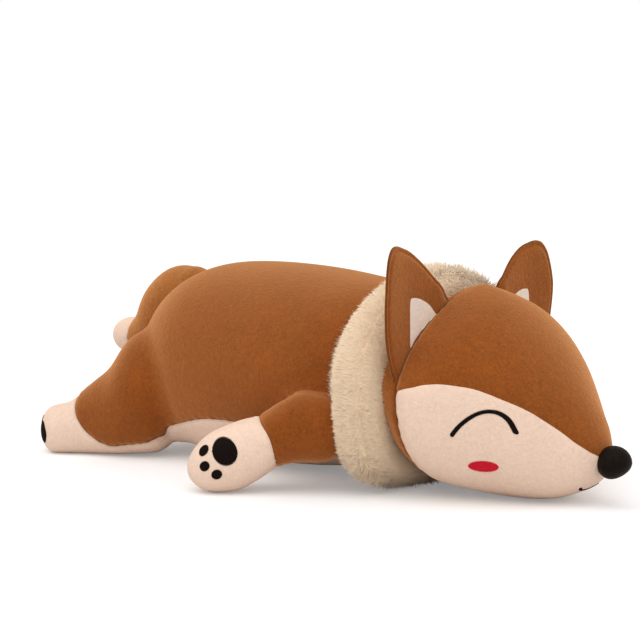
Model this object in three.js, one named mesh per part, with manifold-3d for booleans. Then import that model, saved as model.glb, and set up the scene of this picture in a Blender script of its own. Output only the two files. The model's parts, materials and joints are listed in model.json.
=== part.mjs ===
// Plush fox lying on its belly, in millimetres.
// X runs from tail to nose, Y to the fox's left and Z up from the floor.
// The pieces are laid out from the middle of the fur ruff, and the whole fox is
// then moved so that the origin is the middle of its footprint.

import * as THREE from 'three';
import { LoftGeometry } from 'three/addons/geometries/LoftGeometry.js';
import { mergeVertices } from 'three/addons/utils/BufferGeometryUtils.js';
import Module from 'manifold-3d';

// Fabric and clearances
const fabricThickness = 2;
const clearance = 0.3;
const sweepClearance = 0.5;
const rootClearance = 0.9;
const threadHeight = 0.9;
const floorFlat = 0.5;
const cutOverrun = 60;
const outlineSlantShare = 1.5;

// Torso
const torsoLength = 317;
const torsoHeight = 181;
const torsoHalfWidth = 111;
const neckSetback = 5;
const rumpRounding = 112;

// Hind legs
const hipSetback = 257;
const hipSpread = 51.5;
const hindLegLength = 141;
const hindLegHeight = 120;
const hindLegHalfWidth = 56;
const hindLegSplay = 38;
const soleRounding = 12;
const soleTurn = 15;

// Forelegs
const shoulderSetback = 47;
const shoulderSpread = 103;
const shoulderHeight = 53;
const shoulderRadius = 28;
const forelegReach = 108;
const forelegHalfWidth = 25;
const forelegSplay = 41.5;
const forelegSwing = 25;
const pawTipRounding = 26;

// Paw pads
const pawPadRadius = 10.2;
const pawToeRadius = 4.2;
const pawPadFromTip = 33;
const pawPadHeight = 36.5;
const solePadRadius = 9;
const soleToeRadius = 3.6;
const solePadHeight = 20;
const solePadShift = 8;

// Head
const napeRadius = 82;
const headHalfWidth = 105;
const headSetForward = 45;
const headHeight = 87;
const muzzleLength = 118;
const muzzleTipRounding = 16;
const faceSeamSetback = 12;

// Face
const noseRadius = 13.9;
const noseHalfHeight = 13;
const noseOverhang = 5.2;
const noseHeight = 35.6;
const eyeLineWidth = 3.6;
const blushHalfWidth = 10.5;
const blushHalfHeight = 5;
const mouthHalfWidth = 13;
const mouthLineWidth = 2.4;

// Ears
const earThickness = 7;
const earWidth = 80;
const earHeight = 105;
const earInset = 5;
const earFootHeight = 98;
const earLean = 1.6;
const earFold = 20;

// Ruff
const ruffHalfWidth = 119;
const ruffHeight = 182;
const ruffHalfLength = 26;
const ruffPileDepth = 48;
const ruffSetback = 4;

// Tail
const tailRootSetback = 303;
const tailRootHeight = 150;
const tailRootRadius = 23;
const tailGirthRadius = 26;
const tailTipSetback = 418;
const tailTipHeight = 101;
const tailTipLength = 35;
const tailTipRounding = 20;
const tailSwing = 20;

// Fabric colours
const brownPlush = { color: 0xb06c38, roughness: 0.95 };
const faceBrown = { color: 0xa56630, roughness: 0.95 };
const tailBrown = { color: 0xd08d58, roughness: 0.95 };
const creamPlush = { color: 0xe7cbb0, roughness: 0.95 };
const earCream = { color: 0xeed5c7, roughness: 0.95 };
const ruffFur = { color: 0xedcaa6, roughness: 1 };
const blackThread = { color: 0x1a0700, roughness: 0.6 };
const blackPlush = { color: 0x120500, roughness: 0.9 };
const blushThread = { color: 0xc21a33, roughness: 0.6 };
const stuffing = { color: 0xf4f1ea, roughness: 1 };

const upward = new THREE.Vector3(0, 0, 1);
const leftward = new THREE.Vector3(0, 1, 0);
const forward = new THREE.Vector3(1, 0, 0);

const threadSteps = 8;
const ellipseSteps = 10;
const dishSegments = 20;
const rootSegments = 12;
const noseSegments = 14;
const hands = [{ side: -1, hand: 'right' }, { side: 1, hand: 'left' }];

const wasm = await Module();
wasm.setup();

// Solids and shapes

function bareMesh(geometry) {
  const bare = new THREE.BufferGeometry();
  bare.setAttribute('position', geometry.getAttribute('position').clone());
  bare.setIndex(geometry.getIndex());
  return mergeVertices(bare);
}

function solidFrom(geometry) {
  const merged = bareMesh(geometry);
  const vertProperties = new Float32Array(merged.getAttribute('position').array);
  const triVerts = new Uint32Array(merged.getIndex().array);
  return new wasm.Manifold(new wasm.Mesh({ numProp: 3, vertProperties, triVerts }));
}

function geometryFrom(solid) {
  const mesh = solid.getMesh();
  const geometry = new THREE.BufferGeometry();
  geometry.setAttribute('position', new THREE.Float32BufferAttribute(mesh.vertProperties, mesh.numProp));
  geometry.setIndex(Array.from(mesh.triVerts));
  return geometry;
}

// The same stuffed shape with its surface moved out by an amount, or in by a negative one
function swollen(geometry, amount) {
  const merged = bareMesh(geometry);
  merged.computeVertexNormals();
  const places = merged.getAttribute('position');
  const normals = merged.getAttribute('normal');
  for (let i = 0; i < places.count; i += 1) {
    const place = new THREE.Vector3().fromBufferAttribute(places, i);
    place.addScaledVector(new THREE.Vector3().fromBufferAttribute(normals, i), amount);
    places.setXYZ(i, place.x, place.y, place.z);
  }
  return solidFrom(merged);
}

function smoothRows(rows) {
  const places = rows.map((row) => row[0]);
  const values = rows.flatMap((row) => row.slice(1));
  const curve = new THREE.CubicInterpolant(places, values, rows[0].length - 1);
  return (place) => Array.from(curve.evaluate(place));
}

// An oval that is squarer below than above when lowerSquareness is the larger
function oval({ center, across, up, halfAcross, halfUp, squareness, lowerSquareness, sides }) {
  const points = [];
  for (let i = 0; i < sides; i += 1) {
    const angle = (i / sides) * 2 * Math.PI;
    const power = 2 / (Math.sin(angle) < 0 ? lowerSquareness : squareness);
    const a = Math.sign(Math.cos(angle)) * Math.abs(Math.cos(angle)) ** power;
    const b = Math.sign(Math.sin(angle)) * Math.abs(Math.sin(angle)) ** power;
    points.push(center.clone().addScaledVector(across, a * halfAcross).addScaledVector(up, b * halfUp));
  }
  return points;
}

function cappedLoft(sections) {
  return new LoftGeometry(sections, { capStart: true, capEnd: true });
}

// How far a rounded end has opened at a distance from its tip, from 0 to 1
function roundedShare(distance, rounding, squareness) {
  if (distance >= rounding) {
    return 1;
  }
  return (1 - (1 - distance / rounding) ** squareness) ** (1 / squareness);
}

function ball(center, radius, heightRadius, widthRadius, segments) {
  const sphere = new THREE.SphereGeometry(1, segments, Math.round(segments / 2));
  sphere.scale(radius, widthRadius, heightRadius);
  sphere.translate(center.x, center.y, center.z);
  return sphere;
}

// A flat outline drawn on two directions from an origin and pushed through a depth both ways
function prism(outline, origin, across, up, depth) {
  const shape = new THREE.Shape(outline);
  const block = new THREE.ExtrudeGeometry(shape, { depth: 2 * depth, bevelEnabled: false });
  const through = new THREE.Vector3().crossVectors(across, up);
  const placement = new THREE.Matrix4().makeBasis(across, up, through);
  placement.setPosition(origin.clone().addScaledVector(through, -depth));
  block.applyMatrix4(placement);
  return solidFrom(block);
}

// A hollow for a round piece to turn in, wide enough that its flats clear the piece
function dishRound(center, radius, halfWidth, gap, segments) {
  const growth = 1 / Math.cos(Math.PI / segments) ** 2;
  const dishRadius = (radius + gap) * growth;
  return solidFrom(ball(center, dishRadius, dishRadius, (halfWidth + gap) * growth, segments));
}

function turnedAbout(geometry, pivot, axis, degrees) {
  const turned = bareMesh(geometry);
  turned.translate(-pivot.x, -pivot.y, -pivot.z);
  turned.applyMatrix4(new THREE.Matrix4().makeRotationAxis(axis, THREE.MathUtils.degToRad(degrees)));
  turned.translate(pivot.x, pivot.y, pivot.z);
  return turned;
}

// The room that a shape needs while it turns between two angles
function sweptRoom(geometry, pivot, axis, from, to, steps) {
  let room = swollen(turnedAbout(geometry, pivot, axis, from), sweepClearance);
  for (let i = 1; i <= steps; i += 1) {
    const angle = from + ((to - from) * i) / steps;
    room = room.add(swollen(turnedAbout(geometry, pivot, axis, angle), sweepClearance));
  }
  return room;
}

const floorBlock = new THREE.BoxGeometry(4 * torsoLength, 4 * torsoLength, cutOverrun);
const underFloor = solidFrom(floorBlock.translate(0, 0, -cutOverrun / 2));

function everyOther(list) {
  return list.filter((item, index) => index % 2 === 0 || index === list.length - 1);
}

// Points given as shares of a length and a height, from a starting point
function outlineAt(shares, startAcross, startUp, length, height) {
  return shares.map(([a, b]) => new THREE.Vector2(startAcross + a * length, startUp + b * height));
}

// An outline moved out from its middle, by more than the gap because its edges lie aslant
function grownOutline(points, gap) {
  const sum = points.reduce((total, point) => total.add(point), new THREE.Vector2());
  const middle = sum.divideScalar(points.length);
  const outward = (point) => point.clone().sub(middle).setLength(outlineSlantShare * gap);
  return points.map((point) => point.clone().add(outward(point)));
}

// A line of stitching: the outline that lies half a width to each side of a smooth curve
function stitchedLine(points, width) {
  const curve = new THREE.SplineCurve(points);
  const near = [];
  const far = [];
  for (let i = 0; i <= threadSteps; i += 1) {
    const place = curve.getPoint(i / threadSteps);
    const tangent = curve.getTangent(i / threadSteps);
    const normal = new THREE.Vector2(-tangent.y, tangent.x).multiplyScalar(width / 2);
    near.push(place.clone().add(normal));
    far.unshift(place.clone().sub(normal));
  }
  return [...near, ...far];
}

function ellipseOutline(across, up, halfAcross, halfUp) {
  const ellipse = new THREE.EllipseCurve(across, up, halfAcross, halfUp);
  return ellipse.getPoints(ellipseSteps).slice(0, -1);
}

// Torso form: rounded rump, flat belly and a neck that narrows into the ruff
// Each row: place along the torso, half width, top and bottom
const torsoRowShares = [
  [0, 0.8, 0.95, 0.1],
  [0.12, 0.88, 0.965, 0.02],
  [0.27, 0.97, 0.99, 0],
  [0.5, 1, 0.99, 0],
  [0.7, 0.98, 0.957, 0.02],
  [0.85, 0.91, 0.91, 0.06],
  [0.95, 0.79, 0.845, 0.1],
  [1, 0.7, 0.8, 0.13],
];
const torsoStationShares = [0.005, 0.03, 0.08, 0.15, 0.25, 0.37, 0.5, 0.64, 0.78, 0.9, 1];
const torsoSides = 16;
const rumpSquareness = 2.6;
const torsoAt = smoothRows(torsoRowShares);
const rumpX = -neckSetback - torsoLength;

function torsoSection(share, sides) {
  const [widthShare, topShare, bottomShare] = torsoAt(share);
  const opening = roundedShare(share * torsoLength, rumpRounding, rumpSquareness);
  const top = topShare * torsoHeight;
  const bottom = bottomShare * torsoHeight - floorFlat;
  return oval({
    center: new THREE.Vector3(rumpX + share * torsoLength, 0, (top + bottom) / 2),
    across: leftward,
    up: upward,
    halfAcross: widthShare * torsoHalfWidth * opening,
    halfUp: ((top - bottom) / 2) * opening,
    squareness: 2.15,
    lowerSquareness: 2.4,
    sides,
  });
}

function torsoLoft(stationShares, sides) {
  return cappedLoft(stationShares.map((share) => torsoSection(share, sides)));
}
const torsoForm = torsoLoft(torsoStationShares, torsoSides);
const torsoCore = torsoLoft(everyOther(torsoStationShares), torsoSides / 2);

// Hind leg form: thigh buried in the torso, tapering to a blunt foot whose sole turns out
// Each row: place along the leg, half width, top and bottom
const hindLegRowShares = [
  [0, 1, 1.02, 0.03],
  [0.26, 0.95, 0.98, 0.012],
  [0.39, 0.87, 0.9, 0.005],
  [0.44, 0.81, 0.826, 0],
  [0.51, 0.71, 0.69, 0],
  [0.62, 0.57, 0.576, 0],
  [0.735, 0.47, 0.466, 0],
  [0.79, 0.44, 0.403, 0],
  [0.87, 0.42, 0.378, 0],
  [0.94, 0.4, 0.36, 0],
  [1, 0.39, 0.345, 0],
];
const hindLegStationShares = [0, 0.2, 0.38, 0.52, 0.66, 0.8, 0.92, 0.998];
const hindLegSides = 12;
const soleSquareness = 2;
const soleTurnStartShare = 0.6;
const hindLegAt = smoothRows(hindLegRowShares);

function hindLegFrame(side) {
  const angle = THREE.MathUtils.degToRad(hindLegSplay);
  const direction = new THREE.Vector3(-Math.cos(angle), side * Math.sin(angle), 0);
  const hip = new THREE.Vector3(-hipSetback, side * hipSpread, 0);
  return { hip, direction, across: new THREE.Vector3().crossVectors(upward, direction) };
}

function hindLegLoft(side, stationShares, sides) {
  const { hip, direction, across } = hindLegFrame(side);
  const sections = stationShares.map((share) => {
    const [widthShare, topShare, bottomShare] = hindLegAt(share);
    const opening = roundedShare((1 - share) * hindLegLength, soleRounding, soleSquareness);
    const top = topShare * hindLegHeight;
    const bottom = bottomShare * hindLegHeight - floorFlat;
    const middle = hip.clone().addScaledVector(direction, share * hindLegLength);
    const turnShare = Math.max((share - soleTurnStartShare) / (1 - soleTurnStartShare), 0);
    const turn = THREE.MathUtils.degToRad(-side * turnShare * soleTurn);
    return oval({
      center: middle.setZ((top + bottom) / 2),
      across: across.clone().applyAxisAngle(upward, turn),
      up: upward,
      halfAcross: widthShare * hindLegHalfWidth * opening,
      halfUp: ((top - bottom) / 2) * opening,
      squareness: 2.1,
      lowerSquareness: 2.6,
      sides,
    });
  });
  return cappedLoft(sections);
}

function hindLegForm(side) {
  return hindLegLoft(side, hindLegStationShares, hindLegSides);
}

function hindLegCore(side) {
  return hindLegLoft(side, hindLegStationShares, hindLegSides / 2);
}

// Foreleg form: round shoulder, a sleeve clear of the floor and a paw that rests on it
// Each row: place along the leg, half width, top and bottom
const forelegRowShares = [
  [0, 1.12, 1.53, 0.47],
  [0.15, 1, 1.53, 0.47],
  [0.3, 0.99, 1.38, 0.4],
  [0.45, 0.99, 1.19, 0.2],
  [0.6, 1, 1.1, 0.04],
  [0.75, 1, 0.98, 0],
  [0.88, 0.97, 0.86, 0],
  [1, 0.9, 0.72, 0.02],
];
const forelegStationShares = [0, 0.16, 0.32, 0.48, 0.64, 0.8, 0.93, 0.998];
const forelegSides = 12;
const pawSquareness = 2.2;
const rootAngles = [18, 42, 66];
const forelegAt = smoothRows(forelegRowShares);

function forelegFrame(side) {
  const angle = THREE.MathUtils.degToRad(forelegSplay);
  const direction = new THREE.Vector3(-Math.cos(angle), side * Math.sin(angle), 0);
  const shoulder = new THREE.Vector3(-shoulderSetback, side * shoulderSpread, shoulderHeight);
  return { shoulder, direction, across: new THREE.Vector3().crossVectors(upward, direction) };
}

// Rings of a round root, from its far end to its middle
function rootRings(center, direction, across, up, radius, angles, sides) {
  return angles.map((degrees) => {
    const angle = THREE.MathUtils.degToRad(degrees);
    return oval({
      center: center.clone().addScaledVector(direction, -radius * Math.cos(angle)),
      across,
      up,
      halfAcross: radius * Math.sin(angle),
      halfUp: radius * Math.sin(angle),
      squareness: 2,
      lowerSquareness: 2,
      sides,
    });
  });
}

function forelegForm(side, angles, stationShares, sides) {
  const { shoulder, direction, across } = forelegFrame(side);
  const root = rootRings(shoulder, direction, across, upward, shoulderRadius, angles, sides);
  const limb = stationShares.map((share) => {
    const [widthShare, topShare, bottomShare] = forelegAt(share);
    const opening = roundedShare((1 - share) * forelegReach, pawTipRounding, pawSquareness);
    const top = topShare * shoulderHeight;
    const bottom = bottomShare * shoulderHeight - floorFlat;
    const middle = shoulder.clone().addScaledVector(direction, share * forelegReach);
    return oval({
      center: middle.setZ((top + bottom) / 2),
      across,
      up: upward,
      halfAcross: widthShare * forelegHalfWidth * opening,
      halfUp: ((top - bottom) / 2) * opening,
      squareness: 2.2,
      lowerSquareness: 2.5,
      sides,
    });
  });
  return cappedLoft([...root, ...limb]);
}

function forelegOutside(side) {
  return forelegForm(side, rootAngles, forelegStationShares, forelegSides);
}

function forelegCore(side) {
  return forelegForm(side, rootAngles, forelegStationShares, forelegSides / 2);
}

function forelegRoom(side) {
  const { shoulder } = forelegFrame(side);
  const limb = sweptRoom(forelegOutside(side), shoulder, upward, 0, side * -forelegSwing, 2);
  return limb.add(dishRound(shoulder, shoulderRadius, shoulderRadius, rootClearance, rootSegments));
}

// Head form: a nape that is round about the nod axis, and a muzzle drawn out from it
// Each row: place along the muzzle, half width, top, bottom and how square it is below and above
const muzzleRowShares = [
  [0, 1, 1, 0.03, 2.5, 1.45],
  [0.12, 0.955, 0.975, 0.018, 2.45, 1.6],
  [0.25, 0.875, 0.93, 0.005, 2.3, 1.85],
  [0.4, 0.77, 0.85, -0.003, 2.1, 2],
  [0.55, 0.645, 0.745, 0.003, 2.1, 2],
  [0.7, 0.48, 0.61, 0.025, 2.25, 2],
  [0.82, 0.335, 0.49, 0.065, 2.4, 2],
  [0.92, 0.235, 0.39, 0.105, 2.45, 2],
  [1, 0.17, 0.32, 0.14, 2.5, 2],
];
const muzzleStationShares = [0, 0.13, 0.27, 0.41, 0.55, 0.69, 0.82, 0.92, 0.995];
const napeAngles = [12, 32, 52, 72];
const headSides = 20;
const muzzleAt = smoothRows(muzzleRowShares);
const headCenter = new THREE.Vector3(headSetForward, 0, headHeight);
const headTop = headHeight + napeRadius;
const muzzleTipX = headSetForward + muzzleLength;
const faceSeamX = headSetForward - faceSeamSetback;

// Round where it turns on the neck, and flatter above where the ears stand
function napeSection(degrees, sides) {
  const angle = THREE.MathUtils.degToRad(degrees);
  const back = napeRadius * Math.cos(angle);
  const flatness = Math.sqrt(Math.max(1 - back / (headSetForward + neckSetback), 0));
  const faceSquareness = muzzleAt(0).at(-1);
  return oval({
    center: headCenter.clone().addScaledVector(forward, -back),
    across: leftward,
    up: upward,
    halfAcross: headHalfWidth * Math.sin(angle),
    halfUp: napeRadius * Math.sin(angle),
    squareness: THREE.MathUtils.lerp(2, faceSquareness, flatness),
    lowerSquareness: 2,
    sides,
  });
}

function muzzleSection(share, sides) {
  const [widthShare, topShare, bottomShare, lowerSquareness, squareness] = muzzleAt(share);
  const opening = roundedShare((1 - share) * muzzleLength, muzzleTipRounding, 2);
  const top = topShare * headTop;
  const bottom = bottomShare * headTop;
  return oval({
    center: new THREE.Vector3(headSetForward + share * muzzleLength, 0, (top + bottom) / 2),
    across: leftward,
    up: upward,
    halfAcross: widthShare * headHalfWidth * opening,
    halfUp: ((top - bottom) / 2) * opening,
    squareness,
    lowerSquareness,
    sides,
  });
}

function headLoft(angles, shares, sides) {
  const nape = angles.map((angle) => napeSection(angle, sides));
  const muzzle = shares.map((share) => muzzleSection(share, sides));
  return cappedLoft([...nape, ...muzzle]);
}
const headForm = headLoft(napeAngles, muzzleStationShares, headSides);
const headCore = headLoft(everyOther(napeAngles), everyOther(muzzleStationShares), headSides / 2);

const neckDish = dishRound(headCenter, napeRadius, headHalfWidth, clearance, dishSegments);

// Ear form: a flat pointed leaf that leans back a little and stands on the head
const earOutlineShares = [
  [-0.075, 0.4],
  [0, 0.63],
  [0.14, 0.735],
  [0.325, 0.86],
  [0.5, 0.945],
  [0.64, 0.98],
  [0.74, 0.995],
  [0.83, 0.985],
  [0.89, 0.945],
  [0.94, 0.87],
  [0.985, 0.72],
  [1, 0.55],
  [0.965, 0.3],
  [0.88, 0.1],
  [0.8, 0],
  [0.61, -0.08],
];
const earLiningShares = [
  [0.1, 0.35],
  [0.216, 0.49],
  [0.3, 0.55],
  [0.42, 0.59],
  [0.52, 0.6],
  [0.575, 0.575],
  [0.585, 0.4],
  [0.58, 0.19],
  [0.5, 0.1],
];
const earFootOuterShare = 0.8;
const earFootInnerShare = 0.63;
const earInnerSpread = headHalfWidth - earInset - earFootOuterShare * earWidth;

function earFrame(side) {
  const lean = THREE.MathUtils.degToRad(earLean);
  const up = new THREE.Vector3(-Math.sin(lean), 0, Math.cos(lean));
  const across = leftward.clone().multiplyScalar(side);
  const foot = new THREE.Vector3(faceSeamX, 0, earFootHeight);
  const rearward = new THREE.Vector3().crossVectors(leftward, up).negate();
  const inner = foot.clone().addScaledVector(across, earInnerSpread);
  inner.addScaledVector(up, earFootInnerShare * earHeight);
  const outer = foot.clone().addScaledVector(across, earInnerSpread + earFootOuterShare * earWidth);
  const hinge = inner.clone().lerp(outer, 0.5).addScaledVector(rearward, earThickness / 2);
  const axis = inner.clone().sub(outer).normalize().multiplyScalar(-side);
  return { foot, across, up, rearward, hinge, axis };
}

// A layer of the ear between two depths behind its front face
function earLayer(side, shares, frontDepth, backDepth, grow = 0) {
  const { foot, across, up, rearward } = earFrame(side);
  const outline = grownOutline(outlineAt(shares, earInnerSpread, 0, earWidth, earHeight), grow);
  const middle = foot.clone().addScaledVector(rearward, (frontDepth + backDepth) / 2);
  return prism(outline, middle, across, up, (backDepth - frontDepth) / 2);
}

// The head as the ear meets it while the ear folds forward
function headUnderEar(side) {
  const { hinge, axis } = earFrame(side);
  return sweptRoom(headForm, hinge, axis, 0, -earFold, 2);
}

// Ruff form: a fur roll round the neck that sags and spreads under the fox
const ruffSteps = 20;
const ruffSides = 10;

function ruffForm() {
  const pile = ruffPileDepth / 2;
  const ringCenter = new THREE.Vector3(-ruffSetback, 0, (ruffHeight - floorFlat) / 2);
  const ring = oval({
    center: ringCenter,
    across: leftward,
    up: upward,
    halfAcross: ruffHalfWidth - pile,
    halfUp: (ruffHeight + floorFlat) / 2 - pile,
    squareness: 2,
    lowerSquareness: 3.5,
    sides: ruffSteps,
  });
  const sections = ring.map((center) => oval({
    center,
    across: center.clone().sub(ringCenter).normalize(),
    up: forward.clone().negate(),
    halfAcross: pile,
    halfUp: ruffHalfLength,
    squareness: 2.3,
    lowerSquareness: 2.3,
    sides: ruffSides,
  }));
  return new LoftGeometry([...sections, sections[0]]);
}

// Tail form: a fat curled brush on a round root
// Bends: place from root to tip, along and down
const tailBendShares = [
  [0, 0],
  [0.16, 0.06],
  [0.31, 0.33],
  [0.44, 0.73],
  [0.61, 1],
  [0.8, 1.04],
  [1, 1],
];
const tailGirthShares = [
  [0, 0.85],
  [0.2, 1],
  [0.45, 1],
  [0.6, 0.86],
  [0.8, 0.72],
  [1, 0.62],
];
const tailStationShares = [0.03, 0.17, 0.3, 0.43, 0.56, 0.69, 0.82, 0.93, 0.998];
const tailSides = 12;
const tailRoot = new THREE.Vector3(-tailRootSetback, 0, tailRootHeight);
const tailTip = new THREE.Vector3(-tailTipSetback, 0, tailTipHeight);
const tailCurve = new THREE.CatmullRomCurve3(tailBendShares.map(([along, drop]) => new THREE.Vector3(
  THREE.MathUtils.lerp(tailRoot.x, tailTip.x, along),
  0,
  THREE.MathUtils.lerp(tailRoot.z, tailTip.z, drop),
)));
const tailGirthAt = smoothRows(tailGirthShares);

function tailForm(angles, stationShares, sides) {
  const length = tailCurve.getLength();
  const direction = tailCurve.getTangentAt(0);
  const rootUp = new THREE.Vector3().crossVectors(direction, leftward);
  const root = rootRings(tailRoot, direction, leftward, rootUp, tailRootRadius, angles, sides);
  const brush = stationShares.map((share) => {
    const tangent = tailCurve.getTangentAt(share);
    const [girthShare] = tailGirthAt(share);
    const opening = roundedShare((1 - share) * length, tailTipRounding, 2);
    const radius = girthShare * tailGirthRadius * opening;
    return oval({
      center: tailCurve.getPointAt(share),
      across: leftward,
      up: new THREE.Vector3().crossVectors(tangent, leftward),
      halfAcross: radius,
      halfUp: radius,
      squareness: 2,
      lowerSquareness: 2,
      sides,
    });
  });
  return cappedLoft([...root, ...brush]);
}
const tailOutside = tailForm(rootAngles, tailStationShares, tailSides);
const tailCore = tailForm(rootAngles, tailStationShares, tailSides / 2);
const tailPath = sweptRoom(tailOutside, tailRoot, upward, -tailSwing, tailSwing, 4);
const tailDish = dishRound(tailRoot, tailRootRadius, tailRootRadius, rootClearance, rootSegments);
const tailRoom = tailPath.add(tailDish);

// Seams between the panels

// The cream underside: the part of the torso below a line along its flank
const bellyLineShares = [
  [-0.07, 0.025],
  [0.02, 0.035],
  [0.136, 0.063],
  [0.209, 0.088],
  [0.238, 0.12],
  [0.262, 0.168],
  [0.295, 0.19],
  [0.367, 0.223],
  [0.47, 0.252],
  [0.75, 0.24],
  [0.92, 0.2],
  [1.1, 0.2],
];

function bellyBlock(raise) {
  const line = outlineAt(bellyLineShares, rumpX, raise, torsoLength, torsoHeight);
  const outline = [
    ...line,
    new THREE.Vector2(line.at(-1).x, -cutOverrun),
    new THREE.Vector2(line[0].x, -cutOverrun),
  ];
  return prism(outline, new THREE.Vector3(), forward, upward, 2 * torsoHalfWidth);
}

// The cream foot: a strip under the leg that rises into a sock round the ankle
const sockLineShares = [
  [0.3, 0.085],
  [0.394, 0.0985],
  [0.475, 0.11],
  [0.542, 0.146],
  [0.614, 0.209],
  [0.672, 0.284],
  [0.712, 0.34],
  [0.733, 0.43],
  [0.742, 0.55],
];

function footBlock(side, grow) {
  const { hip, direction } = hindLegFrame(side);
  const line = outlineAt(sockLineShares, -grow, grow, hindLegLength, hindLegHeight);
  const end = hindLegLength + cutOverrun;
  const outline = [
    ...line,
    new THREE.Vector2(end, line.at(-1).y),
    new THREE.Vector2(end, -cutOverrun),
    new THREE.Vector2(line[0].x, -cutOverrun),
  ];
  return prism(outline, hip, direction, upward, 1.2 * hindLegHalfWidth);
}

// The cream paw: the part of the foreleg past a cuff that bows toward the shoulder
const cuffLineShares = [
  [0.3, -0.2],
  [0.31, 0.4],
  [0.36, 0.87],
  [0.465, 1.24],
  [0.52, 1.8],
];

function pawBlock(side, grow) {
  const { shoulder, direction } = forelegFrame(side);
  const line = outlineAt(cuffLineShares, -grow, 0, forelegReach, shoulderHeight);
  const end = forelegReach + cutOverrun;
  const outline = [
    ...line,
    new THREE.Vector2(end, line.at(-1).y),
    new THREE.Vector2(end, line[0].y),
  ];
  return prism(outline, shoulder.clone().setZ(0), direction, upward, 2 * forelegHalfWidth);
}

// The cream cheeks: below a line that runs from the ear's foot down to the nose
const cheekLineShares = [
  [-0.12, 0.522],
  [-0.05, 0.541],
  [0.04, 0.557],
  [0.2, 0.576],
  [0.4, 0.553],
  [0.525, 0.513],
  [0.65, 0.461],
  [0.761, 0.395],
  [0.86, 0.329],
  [0.967, 0.253],
  [1.25, 0.04],
];

function cheekBlock(raise) {
  const line = outlineAt(cheekLineShares, headSetForward, raise, muzzleLength, headTop);
  const outline = [
    ...line,
    new THREE.Vector2(line.at(-1).x, -cutOverrun),
    new THREE.Vector2(line[0].x, -cutOverrun),
  ];
  return prism(outline, new THREE.Vector3(), forward, upward, 2 * headHalfWidth);
}

// Everything behind a plane across the fox
function behind(x) {
  const depth = torsoLength + tailTipSetback;
  const block = new THREE.BoxGeometry(depth, 4 * torsoHalfWidth, 4 * torsoHeight);
  return solidFrom(block.translate(x - depth / 2, 0, 0));
}

// Everything on one side of the middle plane, half a clearance clear of it
function besideMiddle(side) {
  const width = 2 * headHalfWidth;
  const block = new THREE.BoxGeometry(4 * torsoLength, width, 4 * torsoHeight);
  return solidFrom(block.translate(0, side * (width + clearance) / 2, 0));
}

// The thin layer of thread that stands on a stuffed shape
function threadOver(form) {
  return swollen(form, clearance + threadHeight).subtract(swollen(form, clearance));
}

// Bodies that turn on each other, each a group whose place is its pivot
const fox = new THREE.Group();

function bodyAt(pivot, parent) {
  const group = new THREE.Group();
  const parentPivot = parent ? parent.userData.pivot : new THREE.Vector3();
  group.userData.pivot = pivot;
  group.position.copy(pivot).sub(parentPivot);
  (parent ?? fox).add(group);
  return group;
}

function addPiece(body, name, solid, finish) {
  const { pivot } = body.userData;
  const geometry = geometryFrom(solid).translate(-pivot.x, -pivot.y, -pivot.z);
  const material = new THREE.MeshStandardMaterial({ ...finish, metalness: 0 });
  const mesh = new THREE.Mesh(geometry, material);
  mesh.name = name;
  body.add(mesh);
}

// Torso, hind legs and their stuffing
const torso = bodyAt(new THREE.Vector3());
let openings = neckDish.add(tailRoom);
let skinOutside = swollen(torsoForm, 0);
let skinInside = swollen(torsoCore, -fabricThickness);
for (const { side } of hands) {
  openings = openings.add(forelegRoom(side));
  skinOutside = skinOutside.add(swollen(hindLegForm(side), 0));
  skinInside = skinInside.add(swollen(hindLegCore(side), -fabricThickness));
}
const torsoSkin = skinOutside.subtract(skinInside).subtract(openings).subtract(underFloor);
const feetBlocks = footBlock(-1, 0).add(footBlock(1, 0));
const feetRooms = footBlock(-1, clearance).add(footBlock(1, clearance));

addPiece(torso, 'back_panel', torsoSkin.subtract(bellyBlock(clearance)).subtract(feetRooms), brownPlush);
addPiece(torso, 'belly_panel', torsoSkin.intersect(bellyBlock(0)).subtract(feetRooms), creamPlush);
const bodyStuffing = swollen(torsoCore, -fabricThickness - clearance).subtract(openings);
addPiece(torso, 'body_stuffing', bodyStuffing, stuffing);

for (const { side, hand } of hands) {
  const core = swollen(hindLegCore(side), -fabricThickness - clearance);
  const besideTorso = core.subtract(swollen(torsoCore, -fabricThickness)).subtract(openings);
  addPiece(torso, `hind_leg_stuffing_${hand}`, besideTorso, stuffing);
  addPiece(torso, `hind_foot_${hand}`, torsoSkin.intersect(footBlock(side, 0)), creamPlush);
}

// Pads stitched on the hind soles
// Each row: shift toward the fox's middle and rise, as shares of the main pad
const soleToeShares = [
  [1.15, 1.2],
  [1.65, 0.25],
  [1.4, -0.7],
];
const solePadTallShare = 1.15;
for (const { side, hand } of hands) {
  const { hip, direction, across } = hindLegFrame(side);
  const thread = threadOver(hindLegForm(side));
  const inboard = across.clone().multiplyScalar(side);
  const sole = hip.clone().addScaledVector(direction, hindLegLength);
  const stitched = (outline) => thread.intersect(prism(outline, sole, inboard, upward, soleRounding));
  const padTall = solePadTallShare * solePadRadius;
  const pad = ellipseOutline(-solePadShift, solePadHeight, solePadRadius, padTall);
  addPiece(torso, `sole_pad_${hand}`, stitched(pad), blackThread);
  soleToeShares.forEach(([shift, rise], index) => {
    const toeShift = shift * solePadRadius - solePadShift;
    const toeHeight = solePadHeight + rise * solePadRadius;
    const toe = ellipseOutline(toeShift, toeHeight, soleToeRadius, soleToeRadius);
    addPiece(torso, `sole_toe_${index + 1}_${hand}`, stitched(toe), blackThread);
  });
}

// Ruff, shaped round the neck, the shoulders and the ears
let ruff = solidFrom(ruffForm()).subtract(swollen(torsoForm, clearance));
ruff = ruff.subtract(openings).subtract(underFloor);
for (const { side } of hands) {
  ruff = ruff.subtract(earLayer(side, earOutlineShares, -clearance, earThickness + clearance));
}
addPiece(torso, 'ruff', ruff, ruffFur);

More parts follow.
